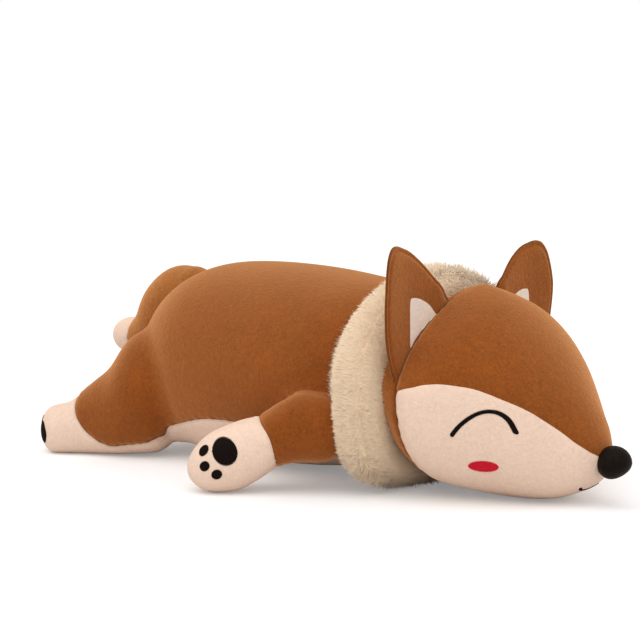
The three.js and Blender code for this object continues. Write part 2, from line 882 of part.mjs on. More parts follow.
// Head, face and nose
const head = bodyAt(headCenter, torso);
const headSkin = swollen(headForm, 0).subtract(swollen(headCore, -fabricThickness)).subtract(underFloor);
const face = headSkin.subtract(behind(faceSeamX + clearance));
const cheeks = face.intersect(cheekBlock(0));
addPiece(head, 'nape_panel', headSkin.intersect(behind(faceSeamX)), brownPlush);
addPiece(head, 'forehead_panel', face.subtract(cheekBlock(clearance)), faceBrown);
addPiece(head, 'head_stuffing', swollen(headCore, -fabricThickness - clearance), stuffing);
const noseCenter = new THREE.Vector3(muzzleTipX + noseOverhang, 0, noseHeight);
const noseForm = ball(noseCenter, noseRadius, noseHalfHeight, noseRadius, noseSegments);
addPiece(head, 'nose', solidFrom(noseForm).subtract(swollen(headForm, clearance)), blackPlush);

const faceThread = threadOver(headForm);
const eyeLineShares = [
  [0.272, 0.339],
  [0.325, 0.388],
  [0.385, 0.428],
  [0.439, 0.451],
  [0.489, 0.457],
  [0.539, 0.446],
  [0.584, 0.414],
  [0.622, 0.355],
];
const threadReachShare = 0.7;
const blushAlongShare = 0.415;
const blushHeightShare = 0.196;
for (const { side, hand } of hands) {
  const beside = new THREE.Vector3(0, side * headHalfWidth, 0);
  const reach = threadReachShare * headHalfWidth;
  const stitched = (outline) => faceThread.intersect(prism(outline, beside, forward, upward, reach));
  const eyeLine = outlineAt(eyeLineShares, headSetForward, 0, muzzleLength, headTop);
  const blush = ellipseOutline(
    headSetForward + blushAlongShare * muzzleLength,
    blushHeightShare * headTop,
    blushHalfWidth,
    blushHalfHeight,
  );
  addPiece(head, `cheek_${hand}`, cheeks.intersect(besideMiddle(side)), creamPlush);
  addPiece(head, `eye_${hand}`, stitched(stitchedLine(eyeLine, eyeLineWidth)), blackThread);
  addPiece(head, `blush_${hand}`, stitched(blush), blushThread);
}

// Each row: along and across the muzzle
const mouthLineShares = [
  [-0.2, -1],
  [-0.42, -0.6],
  [-0.5, 0],
  [-0.42, 0.6],
  [-0.2, 1],
];
const mouthX = muzzleTipX - noseRadius;
const mouthLine = outlineAt(mouthLineShares, mouthX, 0, mouthHalfWidth, mouthHalfWidth);
const mouthOutline = stitchedLine(mouthLine, mouthLineWidth);
const mouthBlock = prism(mouthOutline, new THREE.Vector3(), forward, leftward, noseHeight);
const mouth = faceThread.intersect(mouthBlock).subtract(swollen(noseForm, clearance));
addPiece(head, 'mouth', mouth, blackThread);

// Ears, which fold forward on the head
for (const { side, hand } of hands) {
  const { hinge } = earFrame(side);
  const ear = bodyAt(hinge, head);
  const room = headUnderEar(side);
  const layer = (earThickness - clearance) / 2;
  const front = earLayer(side, earOutlineShares, 0, layer).subtract(room);
  const back = earLayer(side, earOutlineShares, layer + clearance, earThickness).subtract(room);
  const lining = earLayer(side, earLiningShares, -clearance, layer + clearance / 2);
  const liningRoom = earLayer(side, earLiningShares, -clearance, layer + clearance / 2, clearance);
  addPiece(ear, `ear_front_${hand}`, front.subtract(liningRoom), faceBrown);
  addPiece(ear, `ear_lining_${hand}`, front.intersect(lining), earCream);
  addPiece(ear, `ear_back_${hand}`, back, brownPlush);
}

// Forelegs, which swing out from the shoulders
// Each row: along and above the pad as shares of its radius, then half width and half height
const pawToeShares = [
  [1.62, -0.03, 0.78, 1.2],
  [1.48, -1.1, 1, 1],
  [0.6, -1.65, 1, 1],
];
const pawPadTallShare = 1.08;
const pawPadReachShare = 0.8;
for (const { side, hand } of hands) {
  const { shoulder, direction, across } = forelegFrame(side);
  const leg = bodyAt(shoulder, torso);
  const inside = swollen(forelegCore(side), -fabricThickness);
  const skin = swollen(forelegOutside(side), 0).subtract(inside).subtract(underFloor);
  addPiece(leg, `sleeve_${hand}`, skin.subtract(pawBlock(side, clearance)), brownPlush);
  addPiece(leg, `paw_${hand}`, skin.intersect(pawBlock(side, 0)), creamPlush);
  const core = swollen(forelegCore(side), -fabricThickness - clearance);
  addPiece(leg, `foreleg_stuffing_${hand}`, core, stuffing);

  const thread = threadOver(forelegOutside(side));
  const palm = shoulder.clone().setZ(0).addScaledVector(across, -side * forelegHalfWidth);
  const reach = pawPadReachShare * forelegHalfWidth;
  const stitched = (outline) => thread.intersect(prism(outline, palm, direction, upward, reach));
  const padAlong = forelegReach - pawPadFromTip;
  const pad = ellipseOutline(padAlong, pawPadHeight, pawPadRadius, pawPadTallShare * pawPadRadius);
  addPiece(leg, `palm_pad_${hand}`, stitched(pad), blackThread);
  pawToeShares.forEach(([along, rise, narrow, tall], index) => {
    const toe = ellipseOutline(
      padAlong + along * pawPadRadius,
      pawPadHeight + rise * pawPadRadius,
      narrow * pawToeRadius,
      tall * pawToeRadius,
    );
    addPiece(leg, `toe_pad_${index + 1}_${hand}`, stitched(toe), blackThread);
  });
}

// Tail, which swings from side to side
const tail = bodyAt(tailRoot, torso);
const tailSkin = swollen(tailOutside, 0).subtract(swollen(tailCore, -fabricThickness));
const tipSeamX = -tailTipSetback + tailTipLength;
addPiece(tail, 'tail_brush', tailSkin.subtract(behind(tipSeamX + clearance)), tailBrown);
addPiece(tail, 'tail_tip', tailSkin.intersect(behind(tipSeamX)), creamPlush);
addPiece(tail, 'tail_stuffing', swollen(tailCore, -fabricThickness - clearance), stuffing);

// The origin goes to the middle of the footprint
const footprint = new THREE.Box3().setFromObject(fox);
const middle = footprint.getCenter(new THREE.Vector3());
fox.position.set(-middle.x, 0, -footprint.min.z);

export default fox;
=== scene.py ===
import json
import math

import bmesh
import bpy
import numpy as np
from mathutils import Matrix, Vector
from mathutils.bvhtree import BVHTree
from mathutils.kdtree import KDTree


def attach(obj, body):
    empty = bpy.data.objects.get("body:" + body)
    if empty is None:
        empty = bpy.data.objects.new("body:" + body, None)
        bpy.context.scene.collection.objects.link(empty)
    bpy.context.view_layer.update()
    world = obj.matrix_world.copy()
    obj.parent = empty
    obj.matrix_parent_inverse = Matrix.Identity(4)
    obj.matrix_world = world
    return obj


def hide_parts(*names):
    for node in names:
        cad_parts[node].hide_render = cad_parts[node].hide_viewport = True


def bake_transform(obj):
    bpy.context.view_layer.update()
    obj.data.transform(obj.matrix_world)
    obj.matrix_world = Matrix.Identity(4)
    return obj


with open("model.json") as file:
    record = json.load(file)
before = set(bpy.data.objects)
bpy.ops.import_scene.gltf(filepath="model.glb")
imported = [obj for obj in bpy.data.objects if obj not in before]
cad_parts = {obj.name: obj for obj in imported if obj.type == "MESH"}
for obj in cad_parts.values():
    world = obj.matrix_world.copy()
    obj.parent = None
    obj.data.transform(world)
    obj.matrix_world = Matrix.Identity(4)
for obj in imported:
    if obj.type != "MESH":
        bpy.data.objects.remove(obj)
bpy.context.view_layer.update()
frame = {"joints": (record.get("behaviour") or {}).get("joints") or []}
joints = {joint["name"]: joint for joint in frame["joints"]}
hands = [(-1, "right"), (1, "left")]
sides = {hand: side for side, hand in hands}


# Body: one brown plush cover over the back, the flanks, both hind legs and the sleeves of the
# forelegs, with a cream belly, socks and paws sewn in. Loose fibre fills it and rounds every edge.
neck = Vector(joints["head_nod"]["pos_m"])
ruff_x = neck.x - 0.045
torso_length, torso_height, torso_half_width = 0.317, 0.181, 0.111
torso_front_x = ruff_x - 0.005
rump_x = torso_front_x - torso_length
rump_rounding, rump_squareness, neck_rounding, torso_squareness = 0.112, 2.6, 0.012, (2.15, 2.4)
torso_rows = [
    [0, 0.8, 0.95, 0.1], [0.12, 0.88, 0.965, 0.02], [0.27, 0.97, 0.99, 0], [0.5, 1, 0.99, 0],
    [0.7, 0.98, 0.957, 0.02], [0.85, 0.91, 0.91, 0.06], [0.95, 0.79, 0.845, 0.1], [1, 0.7, 0.8, 0.13],
]
hip_x, hip_spread, hind_splay = ruff_x - 0.257, 0.0515, math.radians(38)
hind_length, hind_height, hind_half_width, sole_rounding = 0.141, 0.120, 0.056, 0.012
hip_rounding, hind_squareness = 0.03, (2.1, 2.6)
sole_turn, sole_turn_start = math.radians(15), 0.6
hind_rows = [
    [0, 1, 1.02, 0.03], [0.26, 0.95, 0.98, 0.012], [0.39, 0.87, 0.9, 0.005], [0.44, 0.81, 0.826, 0],
    [0.51, 0.71, 0.69, 0], [0.62, 0.57, 0.576, 0], [0.735, 0.47, 0.466, 0], [0.79, 0.44, 0.403, 0],
    [0.87, 0.42, 0.378, 0], [0.94, 0.4, 0.36, 0], [1, 0.39, 0.345, 0],
]
shoulder_radius, foreleg_reach, foreleg_half_width = 0.028, 0.108, 0.025
foreleg_splay, paw_rounding, shoulder_height = math.radians(41.5), 0.026, 0.053
paw_squareness, foreleg_squareness = 2.2, (2.2, 2.5)
shoulder_inner_y, shoulder_rear_x, shoulder_top = 0.06, ruff_x - 0.17, 0.11
foreleg_rows = [
    [0, 1.12, 1.53, 0.47], [0.15, 1, 1.53, 0.47], [0.3, 0.99, 1.38, 0.4], [0.45, 0.99, 1.19, 0.2],
    [0.6, 1, 1.1, 0.04], [0.75, 1, 0.98, 0], [0.88, 0.97, 0.86, 0], [1, 0.9, 0.72, 0.02],
]
# Each row: along and above, as shares of the length and height of the torso or the leg
belly_line = [
    [-0.3, 0.02], [-0.07, 0.025], [0.02, 0.035], [0.08, 0.048], [0.136, 0.063], [0.173, 0.072],
    [0.209, 0.088], [0.238, 0.12], [0.262, 0.168], [0.295, 0.19], [0.367, 0.223], [0.43, 0.245],
    [0.5, 0.254], [0.62, 0.254], [0.75, 0.24], [0.92, 0.2], [1.3, 0.2],
]
sock_line = [
    [-0.4, 0.06], [-0.2, 0.06], [0, 0.06], [0.1, 0.062], [0.2, 0.065], [0.3, 0.07], [0.394, 0.074],
    [0.48, 0.084], [0.55, 0.11], [0.63, 0.17], [0.69, 0.248], [0.73, 0.32], [0.75, 0.41], [0.757, 0.55],
    [0.76, 0.7], [0.76, 0.85], [0.76, 1.2],
]
cuff_line = [[0.3, -0.6], [0.3, -0.2], [0.31, 0.4], [0.36, 0.87], [0.465, 1.24], [0.52, 1.8]]
sock_start, sock_half_width = 0.3, 0.067
seam_depth, seam_width, shoulder_depth, shoulder_width = 0.0011, 0.0022, 0.0012, 0.004
# How much of a seam's shade the cuff and the shoulder lack, as a distance from the seam
cuff_fade, shoulder_fade = 0.0006, 0.001
# The shoulder's seam laps over the flank's, and its gap has one value away from the shoulder
shoulder_lap, far_inside = 0.0006, -0.05
# Each form is pressed a little way below the floor, and then laid flat on it
floor_press, fine_reach = 0.0005, 0.006
nape_radius, head_half_width, head_clearance = 0.082, 0.105, 0.0003


def smooth_rows(rows):
    """A smooth line through each column of a table, read at any place down its first column."""
    table = np.array(rows, float)
    places, values = table[:, 0], table[:, 1:]
    slopes = np.gradient(values, places, axis=0)

    def at(place):
        place = np.clip(place, places[0], places[-1])
        low = np.clip(np.searchsorted(places, place, side="right") - 1, 0, len(places) - 2)
        step = (places[low + 1] - places[low])[:, None]
        t = (place[:, None] - places[low][:, None]) / step
        start = (1 + 2 * t) * (1 - t) ** 2 * values[low] + t * (1 - t) ** 2 * step * slopes[low]
        end = t * t * (3 - 2 * t) * values[low + 1] - t * t * (1 - t) * step * slopes[low + 1]
        return (start + end).T

    return at


def oval(around, half_across, half_up, squareness=2.0, lower_squareness=2.0):
    """The outline of a cut across a stuffed limb, squarer below where it lies on the floor."""
    turn, rise = np.cos(around), np.sin(around)
    power = 2 / np.where(rise < 0, lower_squareness, squareness)
    across = np.sign(turn) * np.abs(turn) ** power * half_across
    return across, np.sign(rise) * np.abs(rise) ** power * half_up


def ramp(value, start, end):
    """How far a value has come from a start to an end, held between 0 and 1."""
    return np.clip((value - start) / (end - start), 0, 1)


def rounded(distance, rounding, squareness=2.0):
    """How far a rounded end has opened at a distance from its tip."""
    closed = 1 - np.clip(distance / rounding, 0, 1)
    return (1 - closed ** squareness) ** (1 / squareness)


def ball_end(distance, radius):
    """How far the ball at a limb's root has opened, at a distance that is negative within it."""
    return np.sqrt(np.clip(1 - (np.minimum(distance, 0) / radius) ** 2, 0, 1))


def places(skin):
    return np.array([vert.co for vert in skin.verts], float)


def move_to(skin, points):
    for vert, point in zip(skin.verts, points):
        vert.co = point


def stuffed(surface, turns, rings):
    """A ball of skin drawn out to a surface, which is given by how far along and around it lies."""
    skin = bmesh.new()
    bmesh.ops.create_uvsphere(skin, u_segments=turns, v_segments=rings, radius=1)
    x, y, z = places(skin).T
    move_to(skin, surface((1 + z) / 2, np.arctan2(y, x)))
    bmesh.ops.recalc_face_normals(skin, faces=skin.faces)
    return skin


def lie_flat(skin):
    for vert in skin.verts:
        vert.co.z = max(vert.co.z, 0)


def cut_across(around, opening, half_width, top, bottom, squareness):
    """Points on a cut across a stuffed form: how far to its side and how far above the floor."""
    across, up = oval(around, half_width * opening, (top - bottom) / 2 * opening, *squareness)
    return across, (top + bottom) / 2 + up


def stuffed_form(
        place, rows, sizes, squareness, opening_at, turns, rings, ball=0, sole_turned=0):
    """A stuffed form that runs from its root along the floor."""
    root, direction, sideways = place
    length, half_width, height = sizes

    def surface(along, around):
        distance = along * (length + ball) - ball
        width, top, bottom = smooth_rows(rows)(np.clip(distance / length, 0, 1))
        across, above = cut_across(
            around, opening_at(distance), width * half_width, top * height,
            bottom * height - floor_press, squareness)
        turn = -sole_turned * ramp(along, sole_turn_start, 1)[:, None]
        points = root + distance[:, None] * direction
        points[:, 2] = above
        return points + across[:, None] * (np.cos(turn) * sideways - np.sin(turn) * direction)

    return stuffed(surface, turns, rings)


def torso_opening(distance):
    opening = rounded(distance, rump_rounding, rump_squareness)
    return opening * rounded(torso_length - distance, neck_rounding)


def hind_opening(distance):
    return rounded(hind_length - distance, sole_rounding) * rounded(distance, hip_rounding)


def foreleg_opening(distance):
    opening = rounded(foreleg_reach - distance, paw_rounding, paw_squareness)
    return opening * ball_end(distance, shoulder_radius)


def place_from(root, splay, side):
    """A form's root, its direction and its sideways direction."""
    direction = np.array([-math.cos(splay), side * math.sin(splay), 0])
    return np.array(root), direction, np.cross([0, 0, 1], direction)


def hind_frame(side):
    return place_from([hip_x, side * hip_spread, 0], hind_splay, side)


def foreleg_frame(side):
    shoulder = joints["foreleg_right_swing" if side < 0 else "foreleg_left_swing"]["pos_m"]
    return place_from(shoulder, foreleg_splay, side)


def in_scene(name, data):
    thing = bpy.data.objects.new(name, data)
    bpy.context.scene.collection.objects.link(thing)
    return thing


def melted(skins, voxel):
    """Several skins made into one by a voxel remesh."""
    mesh = bpy.data.meshes.new("melted")
    whole = bmesh.new()
    for skin in skins:
        skin.to_mesh(mesh)
        whole.from_mesh(mesh)
    whole.to_mesh(mesh)
    rough = in_scene("melted", mesh)
    remesh = rough.modifiers.new("remesh", "REMESH")
    remesh.mode, remesh.voxel_size = "VOXEL", voxel
    ready = rough.evaluated_get(bpy.context.evaluated_depsgraph_get())
    whole.clear()
    whole.from_mesh(ready.to_mesh())
    bpy.data.objects.remove(rough)
    bpy.data.meshes.remove(mesh)
    return whole


def soften(skin, verts, times):
    for _ in range(times):
        bmesh.ops.smooth_vert(
            skin, verts=verts, factor=0.5, use_axis_x=True, use_axis_y=True, use_axis_z=True)


def line_through(points, closed=False, steps=8):
    """A smooth line through a few points of a drawing."""
    points = np.array(points, float)
    if closed:
        points = np.vstack([points[-1:], points, points[:2]])
    else:
        points = np.vstack([2 * points[:1] - points[1:2], points, 2 * points[-1:] - points[-2:-1]])
    t = np.linspace(0, 1, steps, endpoint=False)[:, None]
    spans = []
    for a, b, c, d in zip(points, points[1:], points[2:], points[3:]):
        spans.append(b + t * ((c - a) + t * ((2 * a - 5 * b + 4 * c - d) + t * (3 * b - a - 3 * c + d))) / 2)
    return np.vstack([*spans, points[-2:-1]])


def gap_to(line, across, up):
    """How far points of a flat drawing lie to the left of a line, with a minus sign to its right."""
    points = np.stack([across, up], 1)
    nearest, gap = np.full(len(points), np.inf), np.zeros(len(points))
    for start, end in zip(line, line[1:]):
        step, away = end - start, points - start
        share = np.clip(away @ step / (step @ step), 0, 1)
        distance = np.linalg.norm(away - share[:, None] * step, axis=1)
        side = np.sign(step[0] * away[:, 1] - step[1] * away[:, 0])
        gap = np.where(distance < nearest, side * distance, gap)
        nearest = np.minimum(nearest, distance)
    return gap


def finer_near(skin, gap_at, reach):
    """Makes all faces triangles, and those near a seam smaller ones."""
    bmesh.ops.triangulate(skin, faces=skin.faces)
    gap = gap_at(places(skin))
    skin.verts.index_update()
    near = [e for e in skin.edges if max(abs(gap[v.index]) for v in e.verts) < reach]
    bmesh.ops.subdivide_edges(skin, edges=near, cuts=1, use_grid_fill=True)
    bmesh.ops.triangulate(skin, faces=skin.faces)


def lay_seam(skin, gap_at, held=frozenset()):
    """Draws the nearer end of each edge that crosses a seam on to it, so that edges run along it."""
    gap = gap_at(places(skin))
    skin.verts.index_update()
    for edge in skin.edges:
        near, far = sorted(edge.verts, key=lambda vert: abs(gap[vert.index]))
        if gap[near.index] * gap[far.index] < 0 and not {near.index, far.index} <= held:
            if near.index in held:
                near, far = far, near
            share = gap[near.index] / (gap[near.index] - gap[far.index])
            near.co = near.co.lerp(far.co, share)
            gap[near.index] = 0
    return gap


def on_seam(gap):
    return frozenset(np.flatnonzero(gap == 0))


def sink_seam(skin, gap, depth, width, pucker=0.08):
    """Draws the skin in along a seam, unevenly, as thread does: a narrow groove in a wide dip."""
    skin.normal_update()
    for vert, distance in zip(skin.verts, gap):
        ripple = math.sin(vert.co.x * 610 + vert.co.y * 470 + vert.co.z * 390)
        ripple += math.sin(vert.co.x * 270 - vert.co.y * 330 + vert.co.z * 510)
        pull = depth * math.exp(-((distance / width) ** 2)) * (1 + pucker * ripple)
        pull += depth * 0.25 * math.exp(-((distance / (3.5 * width)) ** 2)) * (1 + ripple * 0.5)
        vert.co -= vert.normal * pull


def note_gap(skin, gap):
    """Keeps each point's distance from the seam for the material, which paints shade along the seam."""
    layer = skin.verts.layers.float.new("seam_gap")
    for vert, distance in zip(skin.verts, gap):
        vert[layer] = distance


def cut_out(skin, wanted):
    """The panel that is made of the wanted faces."""
    skin.faces.index_update()
    panel = skin.copy()
    extra = [face for face, keep in zip(panel.faces, wanted) if not keep]
    bmesh.ops.delete(panel, geom=extra, context="FACES")
    return panel


def face_sides(skin, gap):
    skin.verts.index_update()
    return np.array([sum(gap[vert.index] for vert in face.verts) for face in skin.faces])


def face_middles(skin):
    return np.array([face.calc_center_median() for face in skin.faces])


def feed(tree, node, inputs):
    """Gives a shader node its inputs: numbers, colours or what other nodes put out."""
    for key, value in inputs.items():
        if isinstance(value, bpy.types.NodeSocket):
            tree.links.new(value, node.inputs[key])
        else:
            node.inputs[key].default_value = value


def shading(tree, kind, inputs, operation=None, output=0):
    """What a new shader node puts out."""
    node = tree.nodes.new(f"ShaderNode{kind}")
    if operation:
        node.operation = operation
    feed(tree, node, inputs)
    return node.outputs[output]


def noted(tree, name):
    """A number that the mesh keeps at each of its points."""
    node = tree.nodes.new("ShaderNodeAttribute")
    node.attribute_name = name
    return node.outputs["Fac"]


def new_material(name):
    material = bpy.data.materials.new(name)
    material.use_nodes = True
    return material, material.node_tree, material.node_tree.nodes["Principled BSDF"]


def dye_and_shade(tree, shader, colour, strength):
    """Colours a material, lighter and darker from place to place: its own tone, and painted shade where a
    caller gives it.
    """
    dyed_and_shaded = shading(tree, "VectorMath", {0: colour, "Scale": strength}, "SCALE")
    feed(tree, shader, {"Base Color": dyed_and_shaded})


def plush(
        name, colour, sheen=1.0, grain=1.0, mottle=1.0, seam_shade=0.5, roughness=0.95, gloss=0.1):
    """Short pile cloth, as a material and its name: brushed patches, fine nap and shade in its seams."""
    material, tree, shader = new_material(name)
    place = shading(tree, "TexCoord", {}, output="Object")

    def noise(scale, detail, rough=0.5):
        inputs = {"Vector": place, "Scale": scale, "Detail": detail, "Roughness": rough}
        return shading(tree, "TexNoise", inputs, output="Fac")

    def sum_of(a, b, share):
        return shading(tree, "Math", {0: b, 1: share, 2: a}, "MULTIPLY_ADD")

    def product_of(a, b):
        return shading(tree, "Math", {0: a, 1: b}, "MULTIPLY")

    def ranged(value, low, high, to_low, to_high):
        ends = {"From Min": low, "From Max": high, "To Min": to_low, "To Max": to_high}
        return shading(tree, "MapRange", {"Value": value, **ends})

    def varied(value, low, high, change):
        return ranged(value, low, high, 1 - change, 1 + change)

    nap = noise(scale=560, detail=3, rough=0.65)
    tuft = noise(scale=230, detail=2)
    cloudy = sum_of(noise(scale=16, detail=3), noise(scale=60, detail=3), share=0.5)
    tone = varied(cloudy, low=0.5, high=1.0, change=0.1 * mottle)
    pile = varied(sum_of(nap, tuft, share=0.4), low=0.4, high=1.0, change=0.34 * grain)
    # Painted shade: the colour darkens along each seam, as shade falls in its groove
    from_seam = shading(tree, "Math", {0: noted(tree, "seam_gap")}, "ABSOLUTE")
    shade = ranged(from_seam, 0.0, seam_width, 1 - seam_shade, 1)
    dye_and_shade(tree, shader, colour, product_of(product_of(tone, pile), shade))
    height = sum_of(nap, tuft, share=0.8)
    feed(tree, shader, {
        "Normal": shading(tree, "Bump", {"Strength": 0.55, "Distance": 0.0009, "Height": height}),
        "Roughness": roughness,
        "Specular IOR Level": gloss,
        "Sheen Weight": sheen,
        "Sheen Roughness": 0.52,
        "Sheen Tint": (1, 0.48, 0.2, 1),
    })
    return material, name


def sewn_piece(skin, name, cloth, nodes, body=None):
    """A finished piece in its place, which stands for its CAD nodes and rides on its body."""
    material, slot = cloth
    mesh = bpy.data.meshes.new(name)
    for face in skin.faces:
        face.smooth = True
    skin.to_mesh(mesh)
    mesh.materials.append(material)
    piece = in_scene(name, mesh)
    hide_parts(*nodes)
    if body:
        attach(piece, body)
    return piece


def sock_gap(points, side):
    root, direction, _ = hind_frame(side)
    line = line_through(sock_line) * [hind_length, hind_height]
    return gap_to(line, (points - root) @ direction, points[:, 2])


def shoulder_gap(points, hand):
    """How much nearer the foreleg's form lies than the torso's, about where the leg is sewn in."""
    gap = np.full(len(points), far_inside)
    near = (sides[hand] * points[:, 1] > shoulder_inner_y) & (points[:, 0] > shoulder_rear_x)
    for index in np.flatnonzero(near & (points[:, 2] < shoulder_top)):
        from_torso = torso_tree.find_nearest(points[index])[3]
        gap[index] = from_torso - limb_trees[hand].find_nearest(points[index])[3]
    return gap


def flank_gap(points):
    """The seam under the flanks and round the socks, which stops at the forelegs."""
    line = line_through(belly_line) * [torso_length, torso_height] + [rump_x, 0]
    gap = gap_to(line, points[:, 0], points[:, 2])
    for side, _ in hands:
        gap = np.minimum(gap, sock_gap(points, side))
    for _, hand in hands:
        gap = np.where(shoulder_gap(points, hand) > shoulder_lap, 1, gap)
    return gap


def cuff_gap(points, side, hand):
    root, direction, _ = foreleg_frame(side)
    line = line_through(cuff_line) * [foreleg_reach, shoulder_height]
    gap = gap_to(line, (points - root) @ direction, points[:, 2])
    return np.where(shoulder_gap(points, hand) > 0, gap, 1)


def any_seam(points):
    gap = np.abs(flank_gap(points))
    for side, hand in hands:
        gap = np.minimum(gap, np.abs(shoulder_gap(points, hand)))
        gap = np.minimum(gap, np.abs(cuff_gap(points, side, hand)))
    return gap


def creases_within(skin, trees, reach):
    """The points where a leg meets the torso."""
    found = []
    for vert in skin.verts:
        if torso_tree.find_nearest(vert.co)[3] < reach:
            if min(tree.find_nearest(vert.co)[3] for tree in trees) < reach:
                found.append(vert)
    return found


brown = plush("brown_plush", (0.245, 0.0585, 0.0066))
cream = plush("cream_plush", (0.88, 0.65, 0.51), sheen=0.08, grain=0.3, mottle=0.25, seam_shade=0.25)
torso_place = np.array([rump_x, 0, 0]), np.array([1, 0, 0]), np.array([0, 1, 0])
torso_skin = stuffed_form(
    torso_place, torso_rows, (torso_length, torso_half_width, torso_height), torso_squareness,
    torso_opening, turns=96, rings=80)
thighs, limbs = [], {}
for side, hand in hands:
    thighs.append(stuffed_form(
        hind_frame(side), hind_rows, (hind_length, hind_half_width, hind_height), hind_squareness,
        hind_opening, turns=64, rings=64, sole_turned=side * sole_turn))
    limbs[hand] = stuffed_form(
        foreleg_frame(side), foreleg_rows, (foreleg_reach, foreleg_half_width, shoulder_height),
        foreleg_squareness, foreleg_opening, turns=80, rings=90, ball=shoulder_radius)
torso_tree = BVHTree.FromBMesh(torso_skin)
limb_trees = {hand: BVHTree.FromBMesh(limb) for hand, limb in limbs.items()}
thigh_trees = [BVHTree.FromBMesh(skin) for skin in thighs]
body_skin = melted([torso_skin, *thighs, *limbs.values()], voxel=0.0028)
soften(body_skin, body_skin.verts, times=6)
soften(body_skin, creases_within(body_skin, limb_trees.values(), reach=0.012), times=22)

# The back panel runs over the hips in one, so its stuffing fills their creases, and never hollows them
hips = creases_within(body_skin, thigh_trees, reach=0.042)
body_skin.normal_update()
before = [(vert, vert.co.copy(), vert.normal.copy()) for vert in hips]
soften(body_skin, hips, times=420)
for vert, place, normal in before:
    if (vert.co - place).dot(normal) < 0:
        vert.co = place
soften(body_skin, hips, times=10)

# The neck's end is hollow, with room for the back of the head
head_radii = np.array([nape_radius, head_half_width, nape_radius]) + head_clearance
for vert in body_skin.verts:
    away = (np.array(vert.co) - np.array(neck)) / head_radii
    if np.linalg.norm(away) < 1:
        vert.co = Vector(np.array(neck) + away / max(np.linalg.norm(away), 0.01) * head_radii)
lie_flat(body_skin)
finer_near(body_skin, any_seam, fine_reach)
held, shoulder_seam, cuff_seam = frozenset(), {}, {}
for _, hand in hands:
    shoulder_seam[hand] = lay_seam(body_skin, lambda points: shoulder_gap(points, hand), held)
    held = held | on_seam(shoulder_seam[hand])
body_gap = lay_seam(body_skin, flank_gap, held)
held = held | on_seam(body_gap)
for side, hand in hands:
    cuff_seam[hand] = lay_seam(body_skin, lambda points: cuff_gap(points, side, hand), held)
nearest_seam = np.abs(body_gap)
sink_seam(body_skin, body_gap, seam_depth, seam_width)
for _, hand in hands:
    sink_seam(body_skin, cuff_seam[hand], seam_depth, seam_width)
    sink_seam(body_skin, shoulder_seam[hand], shoulder_depth, shoulder_width)
    nearest_seam = np.minimum(nearest_seam, np.abs(cuff_seam[hand]) + cuff_fade)
    nearest_seam = np.minimum(nearest_seam, np.abs(shoulder_seam[hand]) + shoulder_fade)
lie_flat(body_skin)
note_gap(body_skin, nearest_seam)
body_tree = BVHTree.FromBMesh(body_skin)

body_sides, body_middles = face_sides(body_skin, body_gap), face_middles(body_skin)
on_limb = {hand: face_sides(body_skin, shoulder_seam[hand]) > 0 for _, hand in hands}
on_trunk = ~on_limb["right"] & ~on_limb["left"]
back = sewn_piece(
    cut_out(body_skin, on_trunk & (body_sides > 0)), "back_skin", brown,
    ["back_panel", "body_stuffing", "hind_leg_stuffing_right", "hind_leg_stuffing_left"], "torso")
in_sock = {}
for side, hand in hands:
    root, direction, sideways = hind_frame(side)
    away = body_middles - root
    beside_leg = np.abs(away @ sideways) < sock_half_width
    in_sock[hand] = (sock_gap(body_middles, side) < 0) & (away @ direction > sock_start * hind_length)
    in_sock[hand] = in_sock[hand] & beside_leg & on_trunk & (body_sides <= 0)
    sock = sewn_piece(
        cut_out(body_skin, in_sock[hand]), f"sock_{hand}", cream, [f"hind_foot_{hand}"], "torso")
under_belly = on_trunk & (body_sides <= 0) & ~in_sock["right"] & ~in_sock["left"]
belly = sewn_piece(
    cut_out(body_skin, under_belly), "belly_skin", cream, ["belly_panel"], "torso")


def follow_foreleg(piece):
    """Bakes a piece's place into its mesh."""
    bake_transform(piece)


for side, hand in hands:
    sleeved = face_sides(body_skin, cuff_seam[hand]) > 0
    sleeve = sewn_piece(
        cut_out(body_skin, on_limb[hand] & sleeved), f"sleeve_skin_{hand}", brown,
        [f"sleeve_{hand}", f"foreleg_stuffing_{hand}"])
    paw = sewn_piece(
        cut_out(body_skin, on_limb[hand] & ~sleeved), f"paw_skin_{hand}", cream, [f"paw_{hand}"])
    for part in (sleeve, paw):
        follow_foreleg(part)


# Head: a brown nape and forehead and two cream cheeks, sewn edge to edge over firm stuffing. The
# seam between the ears runs round the whole face, and the cheeks' seam runs from it to the nose.
muzzle_length, muzzle_rounding = 0.118, 0.016
head_top = neck.z + nape_radius
face_x = neck.x - 0.012
muzzle_rows = [
    [0, 1, 1, 0.03, 2.5, 1.45], [0.12, 0.955, 0.975, 0.018, 2.45, 1.6], [0.25, 0.875, 0.93, 0.005, 2.3, 1.85],
    [0.4, 0.77, 0.85, -0.003, 2.1, 2], [0.55, 0.645, 0.745, 0.003, 2.1, 2], [0.7, 0.48, 0.61, 0.025, 2.25, 2],
    [0.82, 0.335, 0.49, 0.065, 2.4, 2], [0.92, 0.235, 0.39, 0.105, 2.45, 2], [1, 0.17, 0.32, 0.14, 2.5, 2],
]
# Each row: along the muzzle and above the floor, as shares of the muzzle's length and the head's top
cheek_line = [
    [-0.3, 0.476], [-0.2, 0.501], [-0.12, 0.522], [-0.05, 0.541], [0.04, 0.557], [0.1, 0.569],
    [0.192, 0.575], [0.289, 0.569], [0.4, 0.553], [0.525, 0.513], [0.65, 0.461], [0.761, 0.395],
    [0.86, 0.329], [0.967, 0.253], [1.07, 0.177], [1.17, 0.1], [1.25, 0.04],
]

# How far behind the neck's joint the muzzle's squareness fades to a round nape, below and above
lower_blend, upper_blend = 0.025, 0.05
# Beside the ears' feet the nape swells behind the face's seam, and at the crown it sinks there
nape_swell, crown_sink, swell_behind, swell_width = 0.003, 0.0045, 0.014, 0.009
swell_begins, swell_ends, crown_begins = (0.08, 0.11), (0.145, 0.125), (0.135, 0.155)
cheek_fade, behind_face = 0.0018, -0.001


